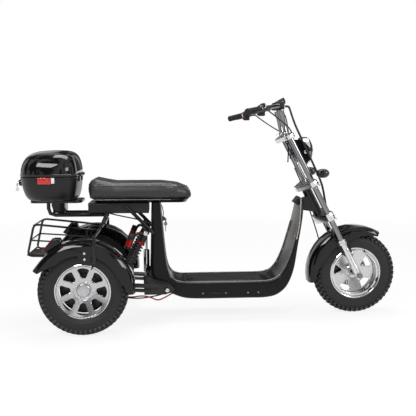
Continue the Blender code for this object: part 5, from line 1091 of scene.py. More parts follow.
@dataclass
class FrontWheel:
    """The front rim's bright rings, window beads and hub bolts, and the slotted disc."""

    centre: Vector
    lip_radius: float = 0.139
    window_inner: float = 0.048
    window_outer: float = 0.112
    window_half: float = 0.036
    window_round: float = 0.02
    windows: int = 5
    phase: float = 0.57
    web_face: float = 0.026
    hub_face: float = -0.004
    disc_radius: float = 0.09
    disc_inner: float = 0.056
    slots: int = 30

    def face_at(self, radius: float) -> float:
        """Return where the web's near face is across the wheel at a radius."""
        return self.web_face - 0.14 * (radius - 0.04)

    def window(self) -> Profile:
        """Return the points (x, z) round one rounded window.

        Returns:
            The points.
        """
        top = self.window_outer - 0.002
        middle = ((self.window_inner + top) / 2, 0.0, self.window_half / 2)
        corners = [(top, 0.0, self.window_half + 0.003), (top + 0.004, 0.0, 0.0),
            (top, 0.0, -self.window_half - 0.003), (self.window_inner, 0.0, 0.0)]
        way = Forge.path([middle, *corners, middle], self.window_round, 5)[:-1]
        return [(point.x, point.z) for point in way]

    def disc(self) -> Body:
        """Return the slotted brake disc, made of cells that each hold one slot.

        Returns:
            The disc.
        """
        bm = bmesh.new()
        width = math.tau / self.slots
        middle = (self.disc_radius + self.disc_inner) / 2 + 0.003
        count = 12
        for cell in range(self.slots):
            start = cell * width
            edge = []
            for step in range(4):
                edge.append((self.disc_inner, start + width * step / 4))
            for step in range(2):
                edge.append((self.disc_inner + (self.disc_radius - self.disc_inner) * step / 2,
                    start + width))
            for step in range(4):
                edge.append((self.disc_radius, start + width * (1 - step / 4)))
            for step in range(2):
                edge.append((self.disc_radius + (self.disc_inner - self.disc_radius) * step / 2, start))
            outer = [bm.verts.new((radius * math.cos(turn), 0.0, radius * math.sin(turn)))
                for radius, turn in edge]
            inner = []
            for step in range(count):
                turn = math.radians(-150.0 + 360.0 * step / count)
                radius = middle + 0.0105 * math.cos(turn)
                slant = start + width / 2 + (0.0024 * math.sin(turn) + 0.004 * math.cos(turn)) / middle
                inner.append(bm.verts.new((radius * math.cos(slant), 0.0, radius * math.sin(slant))))
            edges = [bm.edges.new((ring[step], ring[(step + 1) % len(ring)])) for ring in (outer, inner)
                for step in range(len(ring))]
            bmesh.ops.bridge_loops(bm, edges=edges)
        bmesh.ops.remove_doubles(bm, verts=bm.verts, dist=1e-6)
        bmesh.ops.recalc_face_normals(bm, faces=bm.faces)
        bmesh.ops.solidify(bm, geom=bm.faces, thickness=0.004)
        return bm

    def build(self, bench: Bench) -> None:
        """Make the wheel's pieces.

        Args:
            bench: The bench.
        """
        place = Matrix.Translation(self.centre)
        far = self.lip_radius
        hub_at = self.hub_face
        turns = [Matrix.Rotation(math.tau * (number + self.phase) / self.windows, 4, "Y")
            for number in range(self.windows)]
        rim = Forge.windowed(0.036, 0.1195, self.window(), turns, self.face_at, 0.008)
        Forge.add(rim, Forge.spin([(0.139, -0.046), (0.139, 0.046), (0.134, 0.046), (0.134, 0.034),
            (0.1225, 0.03), (0.1195, 0.02), (0.1185, 0.01), (0.127, -0.034), (0.134, -0.036),
            (0.134, -0.046)], 128, True), Forge.spin([(0.0165, hub_at), (0.0345, hub_at),
            (0.0385, hub_at + 0.003), (0.042, self.web_face - 0.002), (0.042, 0.034), (0.0165, 0.034)],
            64, True))
        bench.put("front_rim_shown", Forge.moved(rim, place), "front_alloy", "front_wheel", 35.0,
            ("front_rim",))
        rings = bmesh.new()
        for out in (-1.0, 1.0):
            lip = [(far - 0.0078, out * 0.039), (far - 0.0066, out * 0.045),
                (far - 0.004, out * 0.0474), (far - 0.001, out * 0.048), (far + 0.0012, out * 0.0465),
                (far + 0.001, out * 0.0445), (far - 0.003, out * 0.039)]
            step = [(0.1195, out * 0.034), (0.12, out * 0.0395), (0.1245, out * 0.0402),
                (0.13, out * 0.038), (0.13, out * 0.034)]
            Forge.add(rings, Forge.spin(lip, 128, True), Forge.spin(step, 128, True))
        bench.put("front_rim_lip", Forge.moved(rings, place), "chrome", "front_wheel", 40.0)
        edge = [Vector((x, self.face_at(math.hypot(x, z)) - 0.0008, z)) for x, z in self.window()]
        loop = Forge.sweep(edge, 0.003, 8, closed=True)
        bench.put("front_rim_window_beads", Forge.moved(Forge.scattered(loop, turns), place), "chrome",
            "front_wheel", 60.0)
        self.fit_hub(bench, place)

    def fit_hub(self, bench: Bench, place: Matrix) -> None:
        """Make the hub's bolts, the balance weights, the brake disc and its carrier.

        Args:
            bench: The bench.
            place: The wheel's place.
        """
        hub_at = self.hub_face
        hub = Forge.spin([(0.0168, hub_at - 0.004), (0.0215, hub_at - 0.004), (0.023, hub_at - 0.002),
            (0.023, hub_at + 0.004), (0.0168, hub_at + 0.004)], 48, True)
        for number in range(5):
            turn = math.tau * (number + 0.2) / 5
            spot = Vector((math.cos(turn) * 0.03, hub_at + 0.0004, math.sin(turn) * 0.03))
            Forge.add(hub, Forge.bolt(spot, Vector((0.0, -1.0, 0.0)), 0.0045, 0.006))
        bench.put("front_hub_bolts", Forge.moved(hub, place), "aluminium", "front_wheel", 30.0)
        weights = bmesh.new()
        for angle in (-18.0, -48.0):
            block = Forge.box((0.1245, -0.047, -0.011), (0.129, -0.04, 0.011), 0.001)
            Forge.add(weights, Forge.moved(block, Matrix.Rotation(-math.radians(angle), 4, "Y")))
        bench.put("front_rim_weights", Forge.moved(weights, place), "dark_steel", "front_wheel")
        disc = self.disc()
        spot = self.centre + Vector((0.0, 0.054, 0.0))
        middle = sum(vert.co.y for vert in disc.verts) / len(disc.verts)
        disc = Forge.moved(disc, Matrix.Translation(spot - Vector((0.0, middle, 0.0))))
        carrier = Forge.spin([(0.0168, 0.0345), (0.03, 0.0345), (0.034, 0.05), (0.0575, 0.051),
            (0.0575, 0.055), (0.0168, 0.056)], 60, True)
        bench.put("brake_disc", disc, "grey_steel", "front_wheel", 30.0, ("front_brake_disc",))
        bench.put("brake_disc_carrier", Forge.moved(carrier, place), "dark_steel", "front_wheel")


@dataclass
class RearGuards:
    """The rear mudguards with their bolts and hoop, and the two tail lamps."""

    def lamp(self, bench: Bench, side: str) -> None:
        """Dress one tail lamp with a lens.

        Args:
            bench: The bench.
            side: The side's name.
        """
        lens = bench.copy_of(f"tail_lamp_{side}")
        ahead = [face for face in lens.faces if face.normal.x > -0.45]
        bmesh.ops.delete(lens, geom=ahead, context="FACES")
        bmesh.ops.inset_region(lens, faces=lens.faces, thickness=0.005, depth=0.0, use_boundary=True)
        rim = [face for face in lens.faces if any(edge.is_boundary for edge in face.edges)]
        bmesh.ops.delete(lens, geom=rim, context="FACES")
        bmesh.ops.recalc_face_normals(lens, faces=lens.faces)
        if lens.faces and sum(face.normal.x for face in lens.faces) > 0:
            bmesh.ops.reverse_faces(lens, faces=lens.faces)
        bmesh.ops.solidify(lens, geom=lens.faces, thickness=-0.0022)
        bench.put(f"tail_lamp_lens_{side}", lens, "red_lens", "chassis", 40.0)
        bench.eased(f"tail_lamp_{side}", "gloss_black", 0.004, "chassis", 30.0)

    def build(self, bench: Bench) -> None:
        """Make the guards' pieces.

        Args:
            bench: The bench.
        """
        for out, side in SIDES:
            bench.eased(f"mudguard_{side}", "gloss_black", 0.003, "chassis", 25.0)
            self.lamp(bench, side)
            bolts = bmesh.new()
            for spot in ((-0.628, out * 0.3868, 0.3865), (-0.628, out * 0.3868, 0.415)):
                Forge.add(bolts, Forge.bolt(spot, (0.0, out, 0.0), 0.0042, 0.0045))
            bench.put(f"mudguard_bolts_{side}", bolts, "chrome", "chassis")
        bench.eased("guard_hoop", "black_frame", 0.0008, "chassis")


@dataclass
class TopCase:
    """The hinged top case: two domed shells with rims, reflector, latch with key, and hinge."""

    half: float = 0.203
    rear: float = -0.978
    front: float = -0.69
    rear_corner: float = 0.125
    front_corner: float = 0.085
    anchor: float = -0.79
    wall: float = 0.0035
    base_rows: tuple[tuple[float, float], ...] = (
        (0.6408, 0.0), (0.6408, 0.5), (0.6412, 0.74), (0.645, 0.8), (0.654, 0.845), (0.67, 0.895),
        (0.695, 0.94), (0.725, 0.972), (0.75, 0.988), (0.764, 0.992))
    lid_rows: tuple[tuple[float, float], ...] = (
        (0.7665, 0.996), (0.78, 1.0), (0.8, 0.99), (0.822, 0.962), (0.843, 0.915), (0.861, 0.85),
        (0.875, 0.765), (0.885, 0.655), (0.8915, 0.52), (0.895, 0.36), (0.8965, 0.18), (0.8968, 0.0))

    def outline(self, share: float, grow: float = 0.0, steps: int = 10) -> list[tuple[float, float]]:
        """Return the case's plan as (x, y) points, shrunk by a share and grown outward.

        Args:
            share: The size, as a share of the full plan.
            grow: How far it is grown outward.
            steps: How many pieces a corner has.

        Returns:
            The points.
        """
        points = []
        corners = ((self.rear + self.rear_corner, -1.0, self.rear_corner, 180.0),
            (self.front - self.front_corner, -1.0, self.front_corner, 270.0),
            (self.front - self.front_corner, 1.0, self.front_corner, 0.0),
            (self.rear + self.rear_corner, 1.0, self.rear_corner, 90.0))
        for x, sign, corner, start in corners:
            for step in range(steps + 1):
                turn = math.radians(start + 90.0 * step / steps)
                across = sign * (self.half - corner) + math.sin(turn) * (corner + grow)
                along = x + math.cos(turn) * (corner + grow)
                points.append((self.anchor + (along - self.anchor) * share, across * share))
        return points

    def rows(self, table: tuple[tuple[float, float], ...], grow: float = 0.0) -> Body:
        """Return an open skin through plan outlines at given heights and shares.

        Args:
            table: A height and a share of the plan for each row.
            grow: How far the rows are grown outward.

        Returns:
            The open skin.
        """
        bm = bmesh.new()
        rings = []
        for z, share in table:
            ring = [bm.verts.new((x, y, z)) for x, y in self.outline(max(share, 0.002), grow)]
            rings.append([bm.edges.new((ring[k], ring[(k + 1) % len(ring)])) for k in range(len(ring))])
        for one, two in zip(rings, rings[1:]):
            bmesh.ops.bridge_loops(bm, edges=one + two)
        return bm

    def shell(self, table: tuple[tuple[float, float], ...], grow: float = 0.0) -> Body:
        """Return one half of the case, or a band round it, with its wall.

        Args:
            table: A height and a share of the plan for each row.
            grow: How far the rows are grown outward.

        Returns:
            The shell.
        """
        bm = self.rows(table, grow)
        bmesh.ops.remove_doubles(bm, verts=bm.verts, dist=0.0009)
        bmesh.ops.recalc_face_normals(bm, faces=bm.faces)
        middle = sum(table[k][0] for k in range(len(table))) / len(table)
        inward = sum((face.calc_center_median() - Vector((self.anchor, 0.0, middle))).dot(face.normal)
            for face in bm.faces)
        if inward < 0:
            bmesh.ops.reverse_faces(bm, faces=bm.faces)
        bmesh.ops.solidify(bm, geom=bm.faces, thickness=self.wall)
        return bm

    def lining(self, table: tuple[tuple[float, float], ...], lift: float) -> Body:
        """Return the thin skin inside one half of the case, lifted clear of its wall.

        Args:
            table: A height and a share of the plan for each row.
            lift: How far up it is lifted.

        Returns:
            The lining.
        """
        bm = self.rows(tuple((z + lift, share) for z, share in table), -0.006)
        bmesh.ops.remove_doubles(bm, verts=bm.verts, dist=0.0018)
        bmesh.ops.recalc_face_normals(bm, faces=bm.faces)
        return bm

    def band(self, low: float, high: float, share: float, thick: float) -> Body:
        """Return a band round the case between two heights, with rounded edges.

        Args:
            low: Its lower height.
            high: Its upper height.
            share: The size, as a share of the full plan.
            thick: How far it stands out.

        Returns:
            The band.
        """
        edge = thick / 2
        return self.shell(((low, share - 0.006), (low + edge, share), (high - edge, share),
            (high, share - 0.006)), thick)

    def fittings(self, bench: Bench) -> None:
        """Make the reflectors, the latch and its key, and the hinge.

        Args:
            bench: The bench.
        """
        for out, side in SIDES:
            y = out * (self.half - 0.001)
            red = Forge.box((-0.872, y - 0.004, 0.73), (-0.808, y + 0.004, 0.7625), 0.0024, 2)
            bench.put(f"case_reflector_{side}", red, "red_lens", "chassis")
            white = Forge.box((-0.806, y - 0.003, 0.734), (-0.789, y + 0.003, 0.762), 0.0018, 2)
            bench.put(f"case_reflector_end_{side}", white, "white_reflector", "chassis")
        start = Vector((-0.972, 0.0, 0.73))
        end = Vector((-1.01, 0.0, 0.727))
        latch = Forge.turned([(0.0, 0.0), (0.015, 0.0), (0.0175, 0.012), (0.0175, 0.026),
            (0.015, 0.033), (0.0, 0.034)], start, end, 48)
        bench.put("case_latch", latch, "gloss_plastic", "chassis")
        ring = Forge.turned([(0.0, 0.033), (0.01, 0.033), (0.0095, 0.0375), (0.0, 0.038)], start, end,
            32)
        key = Forge.box((-1.02, -0.001, 0.696), (-1.012, 0.001, 0.726), 0.0008)
        Forge.add(ring, key, Forge.turned([(0.0, -0.0012), (0.009, -0.0012), (0.009, 0.0012),
            (0.0, 0.0012)], (-1.016, 0.0, 0.692), (-1.016, 1.0, 0.692), 24))
        bench.put("case_latch_key", ring, "chrome", "chassis")
        strap = Forge.box((-0.99, -0.012, 0.742), (-0.974, 0.012, 0.764), 0.004)
        bench.put("case_latch_strap", strap, "satin_plastic", "chassis")
        for sign in (1.0, -1.0):
            hinge = Forge.bar((-0.679, sign * 0.07, 0.772), (-0.679, sign * 0.034, 0.772), 0.0075, 24)
            Forge.add(hinge, Forge.box((-0.692, sign * 0.052 - 0.016, 0.738),
                (-0.682, sign * 0.052 + 0.016, 0.764), 0.002))
            bench.put(f"case_hinge_{'left' if sign > 0 else 'right'}", hinge, "gloss_plastic",
                "chassis")

    def build(self, bench: Bench) -> None:
        """Make the case's pieces.

        Args:
            bench: The bench.
        """
        bench.put("case_base_shell", self.shell(self.base_rows), "satin_plastic", "chassis", 40.0,
            ("case_base",))
        bench.put("case_lid_shell", self.shell(self.lid_rows), "gloss_black", "case_lid", 40.0,
            ("case_lid",))
        bench.put("case_base_lining", self.lining(self.base_rows[:-1], 0.006), "lining", "chassis",
            40.0)
        bench.put("case_lid_lining", self.lining(self.lid_rows[1:], -0.006), "lining", "case_lid", 40.0)
        bench.put("case_base_rim", self.band(0.752, 0.764, 0.992, 0.0024), "satin_plastic", "chassis")
        bench.put("case_lid_rim", self.band(0.7668, 0.779, 1.0, 0.0024), "gloss_plastic", "case_lid")
        self.fittings(bench)


@dataclass
class Seat:
    """The long seat: a stuffed cushion with its piping and cross seams on a moulded base."""

    voxel: float = 0.0055
    pressure: float = 4.0
    cap: float = 0.007
    shrink: float = 0.975
    low: float = 0.6485

    def cushion(self, bench: Bench) -> Body:
        """Return the cushion, swollen by a short cloth run.

        Args:
            bench: The bench.

        Returns:
            The swollen cushion.
        """
        start = bench.copy_of("seat_cushion")
        low, high = (Vector(corner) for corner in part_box("seat_cushion"))
        middle = (low + high) / 2
        middle.z = low.z
        bmesh.ops.translate(start, vec=-middle, verts=start.verts)
        bmesh.ops.scale(start, vec=(self.shrink + 0.012, self.shrink, 0.955), verts=start.verts)
        bmesh.ops.translate(start, vec=middle, verts=start.verts)
        mesh = bpy.data.meshes.new("cushion_start")
        start.to_mesh(mesh)
        start.free()
        piece = bpy.data.objects.new("cushion_start", mesh)
        bpy.context.scene.collection.objects.link(piece)
        remesh = piece.modifiers.new("remesh", "REMESH")
        remesh.mode = "VOXEL"
        remesh.voxel_size = self.voxel
        relax = piece.modifiers.new("relax", "SMOOTH")
        relax.factor = 0.5
        relax.iterations = 8
        self.apply(piece)
        before = [vert.co.copy() for vert in piece.data.vertices]
        self.swell(piece)
        for vert, old in zip(piece.data.vertices, before):
            step = vert.co - old
            if step.length > self.cap:
                vert.co = old + step.normalized() * self.cap
            vert.co.z = max(vert.co.z, self.low)
        bm = bmesh.new()
        bm.from_mesh(piece.data)
        bpy.data.objects.remove(piece)
        return bm

    @staticmethod
    def apply(piece: bpy.types.Object) -> None:
        """Bake a piece's modifiers into its mesh.

        Args:
            piece: The piece.
        """
        graph = bpy.context.evaluated_depsgraph_get()
        baked = bpy.data.meshes.new_from_object(piece.evaluated_get(graph))
        piece.modifiers.clear()
        piece.data = baked

    def swell(self, piece: bpy.types.Object) -> None:
        """Blow the cushion up by cloth pressure.

        Args:
            piece: The cushion.
        """
        cloth = piece.modifiers.new("cloth", "CLOTH")
        cloth.settings.quality = 5
        cloth.settings.use_pressure = True
        cloth.settings.uniform_pressure_force = self.pressure
        cloth.settings.effector_weights.gravity = 0.0
        for number in range(1, 21):
            bpy.context.scene.frame_set(number)
        self.apply(piece)
        bpy.context.scene.frame_set(1)

    def build(self, bench: Bench) -> None:
        """Make the seat's pieces.

        Args:
            bench: The bench.
        """
        bm = self.cushion(bench)
        top = BVHTree.FromBMesh(bm)
        piece = bench.put("seat_pad", bm, "leather", "chassis", 180.0, ("seat_cushion",))
        smooth = piece.modifiers.new("smooth", "SUBSURF")
        smooth.levels = 1
        smooth.render_levels = 1
        for number, x in enumerate((-0.404, -0.3, -0.2)):
            way = self.seam(top, x)
            bench.put(f"seat_seam_{number}", Forge.sweep(way, 0.002, 8, 0.6), "piping", "chassis", 60.0)
        bench.put("seat_piping", Forge.sweep(self.edge(top), 0.0026, 8, closed=True), "piping",
            "chassis", 60.0)
        bench.eased("seat_base", "gloss_plastic", 0.002, "chassis")
        # Thin grey steel strips along the seat base's sides: their light metal colour is a painted
        # highlight along the base's lower edge.
        lip = bmesh.new()
        for out, _ in SIDES:
            way = Forge.path([(-0.61, out * 0.119, 0.644), (-0.215, out * 0.119, 0.644)], 0.01)
            Forge.add(lip, Forge.sweep(way, 0.0018, 8))
        bench.put("seat_base_lip", lip, "grey_steel", "chassis")

    @staticmethod
    def seam(tree: BVHTree, x: float) -> list[Vector]:
        """Return the points of a cross seam over the cushion at a place along it.

        Args:
            tree: The cushion's surface.
            x: Where the seam is.

        Returns:
            The points.
        """
        way = []
        for step in range(41):
            turn = math.radians(-8.0 + 196.0 * step / 40)
            away = Vector((0.0, math.cos(turn), math.sin(turn)))
            origin = Vector((x, 0.0, 0.675))
            spot, normal, _, _ = tree.ray_cast(origin + away * 0.4, -away)
            if spot is not None:
                way.append(spot - normal * 0.0006)
        return way

    @staticmethod
    def edge(tree: BVHTree) -> list[Vector]:
        """Return the points of the piping, a little below the cushion's top edge.

        Args:
            tree: The cushion's surface.

        Returns:
            The points.
        """
        way = []
        for step in range(120):
            turn = math.tau * step / 120
            centre = Vector((-0.64 + 0.5455 * (0.5 + 0.42 * math.cos(turn)), 0.0, 0.0))
            away = Vector((math.cos(turn) * 0.9, math.sin(turn), 0.0)).normalized()
            height = 0.713 + 0.012 * max(-math.cos(turn), 0.0) ** 2 - 0.016 * max(math.cos(turn),
                0.0) ** 3
            origin = Vector((centre.x, 0.0, height))
            spot, normal, _, _ = tree.ray_cast(origin + away * 0.6, -away)
            if spot is not None:
                way.append(spot)
        return way


@dataclass
class Tub:
    """The column, foot deck and leg shield with their trim, screws, lock and key switch."""

    corner: float = 0.02
    stations: tuple[tuple[float, ...], ...] = (
        (-0.27, 0.626, -0.315, 0.626, 0.109), (-0.266, 0.57, -0.317, 0.57, 0.11),
        (-0.257, 0.47, -0.319, 0.47, 0.11), (-0.248, 0.37, -0.322, 0.36, 0.111),
        (-0.238, 0.295, -0.323, 0.28, 0.112), (-0.222, 0.245, -0.308, 0.22, 0.114),
        (-0.195, 0.217, -0.265, 0.172, 0.118), (-0.16, 0.207, -0.2, 0.14, 0.123),
        (-0.12, 0.205, -0.14, 0.121, 0.127), (-0.05, 0.205, -0.06, 0.1165, 0.13),
        (0.07, 0.205, 0.07, 0.116, 0.13), (0.19, 0.205, 0.195, 0.116, 0.13),
        (0.265, 0.2055, 0.28, 0.1165, 0.129), (0.316, 0.211, 0.34, 0.127, 0.126),
        (0.356, 0.231, 0.385, 0.156, 0.123), (0.388, 0.272, 0.416, 0.201, 0.122),
        (0.419, 0.342, 0.439, 0.27, 0.122), (0.442, 0.42, 0.456, 0.37, 0.119),
        (0.463, 0.504, 0.476, 0.488, 0.108), (0.473, 0.574, 0.491, 0.574, 0.088),
        (0.479, 0.646, 0.501, 0.636, 0.055))

    def shield_trim(self, bench: Bench) -> None:
        """Make the leg shield's pale edge strips, grooves and screws.

        Args:
            bench: The bench.
        """
        rear = [(0.316, 0.209), (0.351, 0.23), (0.386, 0.272), (0.419, 0.342), (0.447, 0.439),
            (0.464, 0.504), (0.474, 0.574), (0.48, 0.64)]
        front = [(0.338, 0.127), (0.382, 0.154), (0.417, 0.197), (0.438, 0.262), (0.458, 0.369),
            (0.476, 0.488), (0.492, 0.574), (0.5, 0.632)]
        shares = [1.0, 1.0, 1.0, 1.0, 0.98, 0.96, 0.88, 0.46]
        lines = bmesh.new()
        for sign in (1.0, -1.0):
            for blend in (0.3, 0.62):
                way = [(r[0] + (f[0] - r[0]) * blend, sign * self.side_at(bench, r, f, blend),
                    r[1] + (f[1] - r[1]) * blend) for r, f in zip(rear, front)]
                Forge.add(lines, Forge.sweep(Forge.path(way, 0.02, 3), 0.0019, 6))
        bench.put("shield_side_lines", lines, "satin_plastic", "chassis", 60.0)
        strips = bmesh.new()
        for sign in (1.0, -1.0):
            way = [(r[0] + (f[0] - r[0]) * 0.16, sign * self.side_at(bench, r, f, 0.16),
                r[1] + (f[1] - r[1]) * 0.16) for r, f in zip(rear[4:], front[4:])]
            Forge.add(strips, Forge.sweep(Forge.path(way, 0.02, 3), 0.0034, 8))
        bench.put("shield_side_strips", strips, "beige_plastic", "chassis", 60.0)
        screws = bmesh.new()
        for (x, z), share in zip(rear[2:], shares[2:]):
            for sign in (1.0, -1.0):
                Forge.add(screws, Forge.screw((x - 0.0005, sign * 0.088 * share, z), (-0.96, 0.0, 0.28),
                    0.004))
        bench.put("shield_screws", screws, "chrome", "chassis")

    def side_at(self, bench: Bench, rear: tuple, front: tuple, blend: float) -> float:
        """Return how wide the shield is at a place on its side.

        Args:
            bench: The bench.
            rear: The rear edge's point (x, z).
            front: The front edge's.
            blend: The share of the way from rear to front.

        Returns:
            Half the width there.
        """
        x = rear[0] + (front[0] - rear[0]) * blend
        z = rear[1] + (front[1] - rear[1]) * blend
        spot, _, _, _ = bench.tree("leg_shield").ray_cast(Vector((x, -0.4, z)), Vector((0.0, 1.0, 0.0)))
        return -spot.y if spot is not None else 0.118

    def skin(self) -> Body:
        """Return the tub: one smooth skin down the column, along the deck and up the shield.

        Returns:
            The skin.
        """
        rings = []
        for in_x, in_z, out_x, out_z, half in Forge.smooth(list(self.stations), 6):
            inner = Vector((in_x, 0.0, in_z))
            outer = Vector((out_x, 0.0, out_z))
            way = (inner - outer).normalized()
            thick = (inner - outer).length
            soft = min(self.corner, thick * 0.45)
            crisp = soft * 0.55
            ring = []
            for reach, sign, radius, start in ((soft, 1.0, soft, -90.0),
                    (thick - crisp, 1.0, crisp, 0.0), (thick - crisp, -1.0, crisp, 90.0),
                    (soft, -1.0, soft, 180.0)):
                for step in range(6):
                    turn = math.radians(start + 18.0 * step)
                    across = sign * (half - radius) + radius * math.cos(turn)
                    ring.append(outer + way * (reach + radius * math.sin(turn))
                        + Vector((0.0, across, 0.0)))
            rings.append(ring)
        return Forge.loft(rings)

    def beads(self) -> Body:
        """Return the raised beads along both edges of the tub's inside.

        Returns:
            The beads.
        """
        beads = bmesh.new()
        for sign in (1.0, -1.0):
            way = []
            for in_x, in_z, out_x, out_z, half in Forge.smooth(list(self.stations[:-2]), 5):
                lift = Vector((in_x - out_x, 0.0, in_z - out_z)).normalized() * 0.0008
                way.append(Vector((in_x, sign * (half - 0.0125), in_z)) + lift)
            Forge.add(beads, Forge.sweep(way, 0.005, 12, 0.8))
        return beads

    def column_trim(self, bench: Bench) -> None:
        """Make the column's key switch with its key and the wire that leaves it.

        Args:
            bench: The bench.
        """
        spot = Vector((-0.263, -0.058, 0.538))
        knob = Forge.turned([(0.0, -0.004), (0.0125, -0.004), (0.013, 0.008), (0.0105, 0.011),
            (0.0095, 0.018), (0.0, 0.0185)], spot, spot + Vector((1.0, 0.0, 0.0)), 32)
        bench.put("column_lock", knob, "gloss_plastic", "chassis")
        key = Forge.box((-0.245, -0.0592, 0.518), (-0.237, -0.0568, 0.542), 0.0008)
        Forge.add(key, Forge.bar((-0.2415, -0.0625, 0.51), (-0.2415, -0.0535, 0.51), 0.0095, 24),
            Forge.box((-0.2435, -0.059, 0.47), (-0.2395, -0.057, 0.502), 0.0008))
        bench.put("column_key", key, "grey_steel", "chassis")
        wire = Forge.path([(-0.29, -0.06, 0.618), (-0.262, -0.062, 0.615), (-0.252, -0.06, 0.57),
            (-0.255, -0.058, 0.544)], 0.02)
        bench.put("column_wire", Forge.sweep(wire, 0.0022, 8), "rubber", "chassis", 60.0)
        bolts = bmesh.new()
        for sign in (1.0, -1.0):
            Forge.add(bolts, Forge.bolt((-0.236, sign * 0.1585, 0.176), (0.0, sign, 0.0), 0.0075,
                0.008))
        bench.put("pivot_bolts", bolts, "chrome", "chassis")

    def deck_trim(self, bench: Bench) -> None:
        """Make the deck's screws and its lock.

        Args:
            bench: The bench.
        """
        screws = bmesh.new()
        for x in (-0.05, 0.072, 0.19, 0.245):
            for sign in (1.0, -1.0):
                Forge.add(screws, Forge.screw((x, sign * 0.1296, 0.148), (0.0, sign, 0.0), 0.0042))
        bench.put("deck_screws", screws, "grey_steel", "chassis")
        # Raised gloss-black bars on the deck's sides: their dark colour is painted shade, standing in
        # for shaded side recesses that are not cut.
        slots = bmesh.new()
        for sign in (1.0, -1.0):
            Forge.add(slots, Forge.box((-0.012, sign * 0.1305 - 0.0015, 0.144),
                (0.052, sign * 0.1305 + 0.0015, 0.156), 0.0012, 2))
        bench.put("deck_side_slots", slots, "gloss_black", "chassis")
        lock = Forge.turned([(0.0, -0.002), (0.012, -0.002), (0.012, 0.006), (0.0085, 0.008),
            (0.006, 0.016), (0.011, 0.019), (0.011, 0.023), (0.0, 0.024)], (-0.118, -0.062, 0.212),
            (-0.118, -0.062, 0.24), 32)
        Forge.add(lock, Forge.bar((-0.128, -0.062, 0.22), (-0.1, -0.062, 0.226), 0.0035, 16))
        bench.put("deck_lock", lock, "dark_steel", "chassis")

    def build(self, bench: Bench) -> None:
        """Make the body's pieces.

        Args:
            bench: The bench.
        """
        bench.put("tub", self.skin(), "tub_plastic", "chassis", 40.0,
            ("seat_column", "floor_shell", "leg_shield"))
        # The beads' grey colour is a painted highlight along the black tub's edges.
        bench.put("tub_beads", self.beads(), "tub_bead", "chassis", 60.0)
        bench.eased("floor_mat", "rubber", 0.0008, "chassis")
        self.shield_trim(bench)
        self.column_trim(bench)
        self.deck_trim(bench)


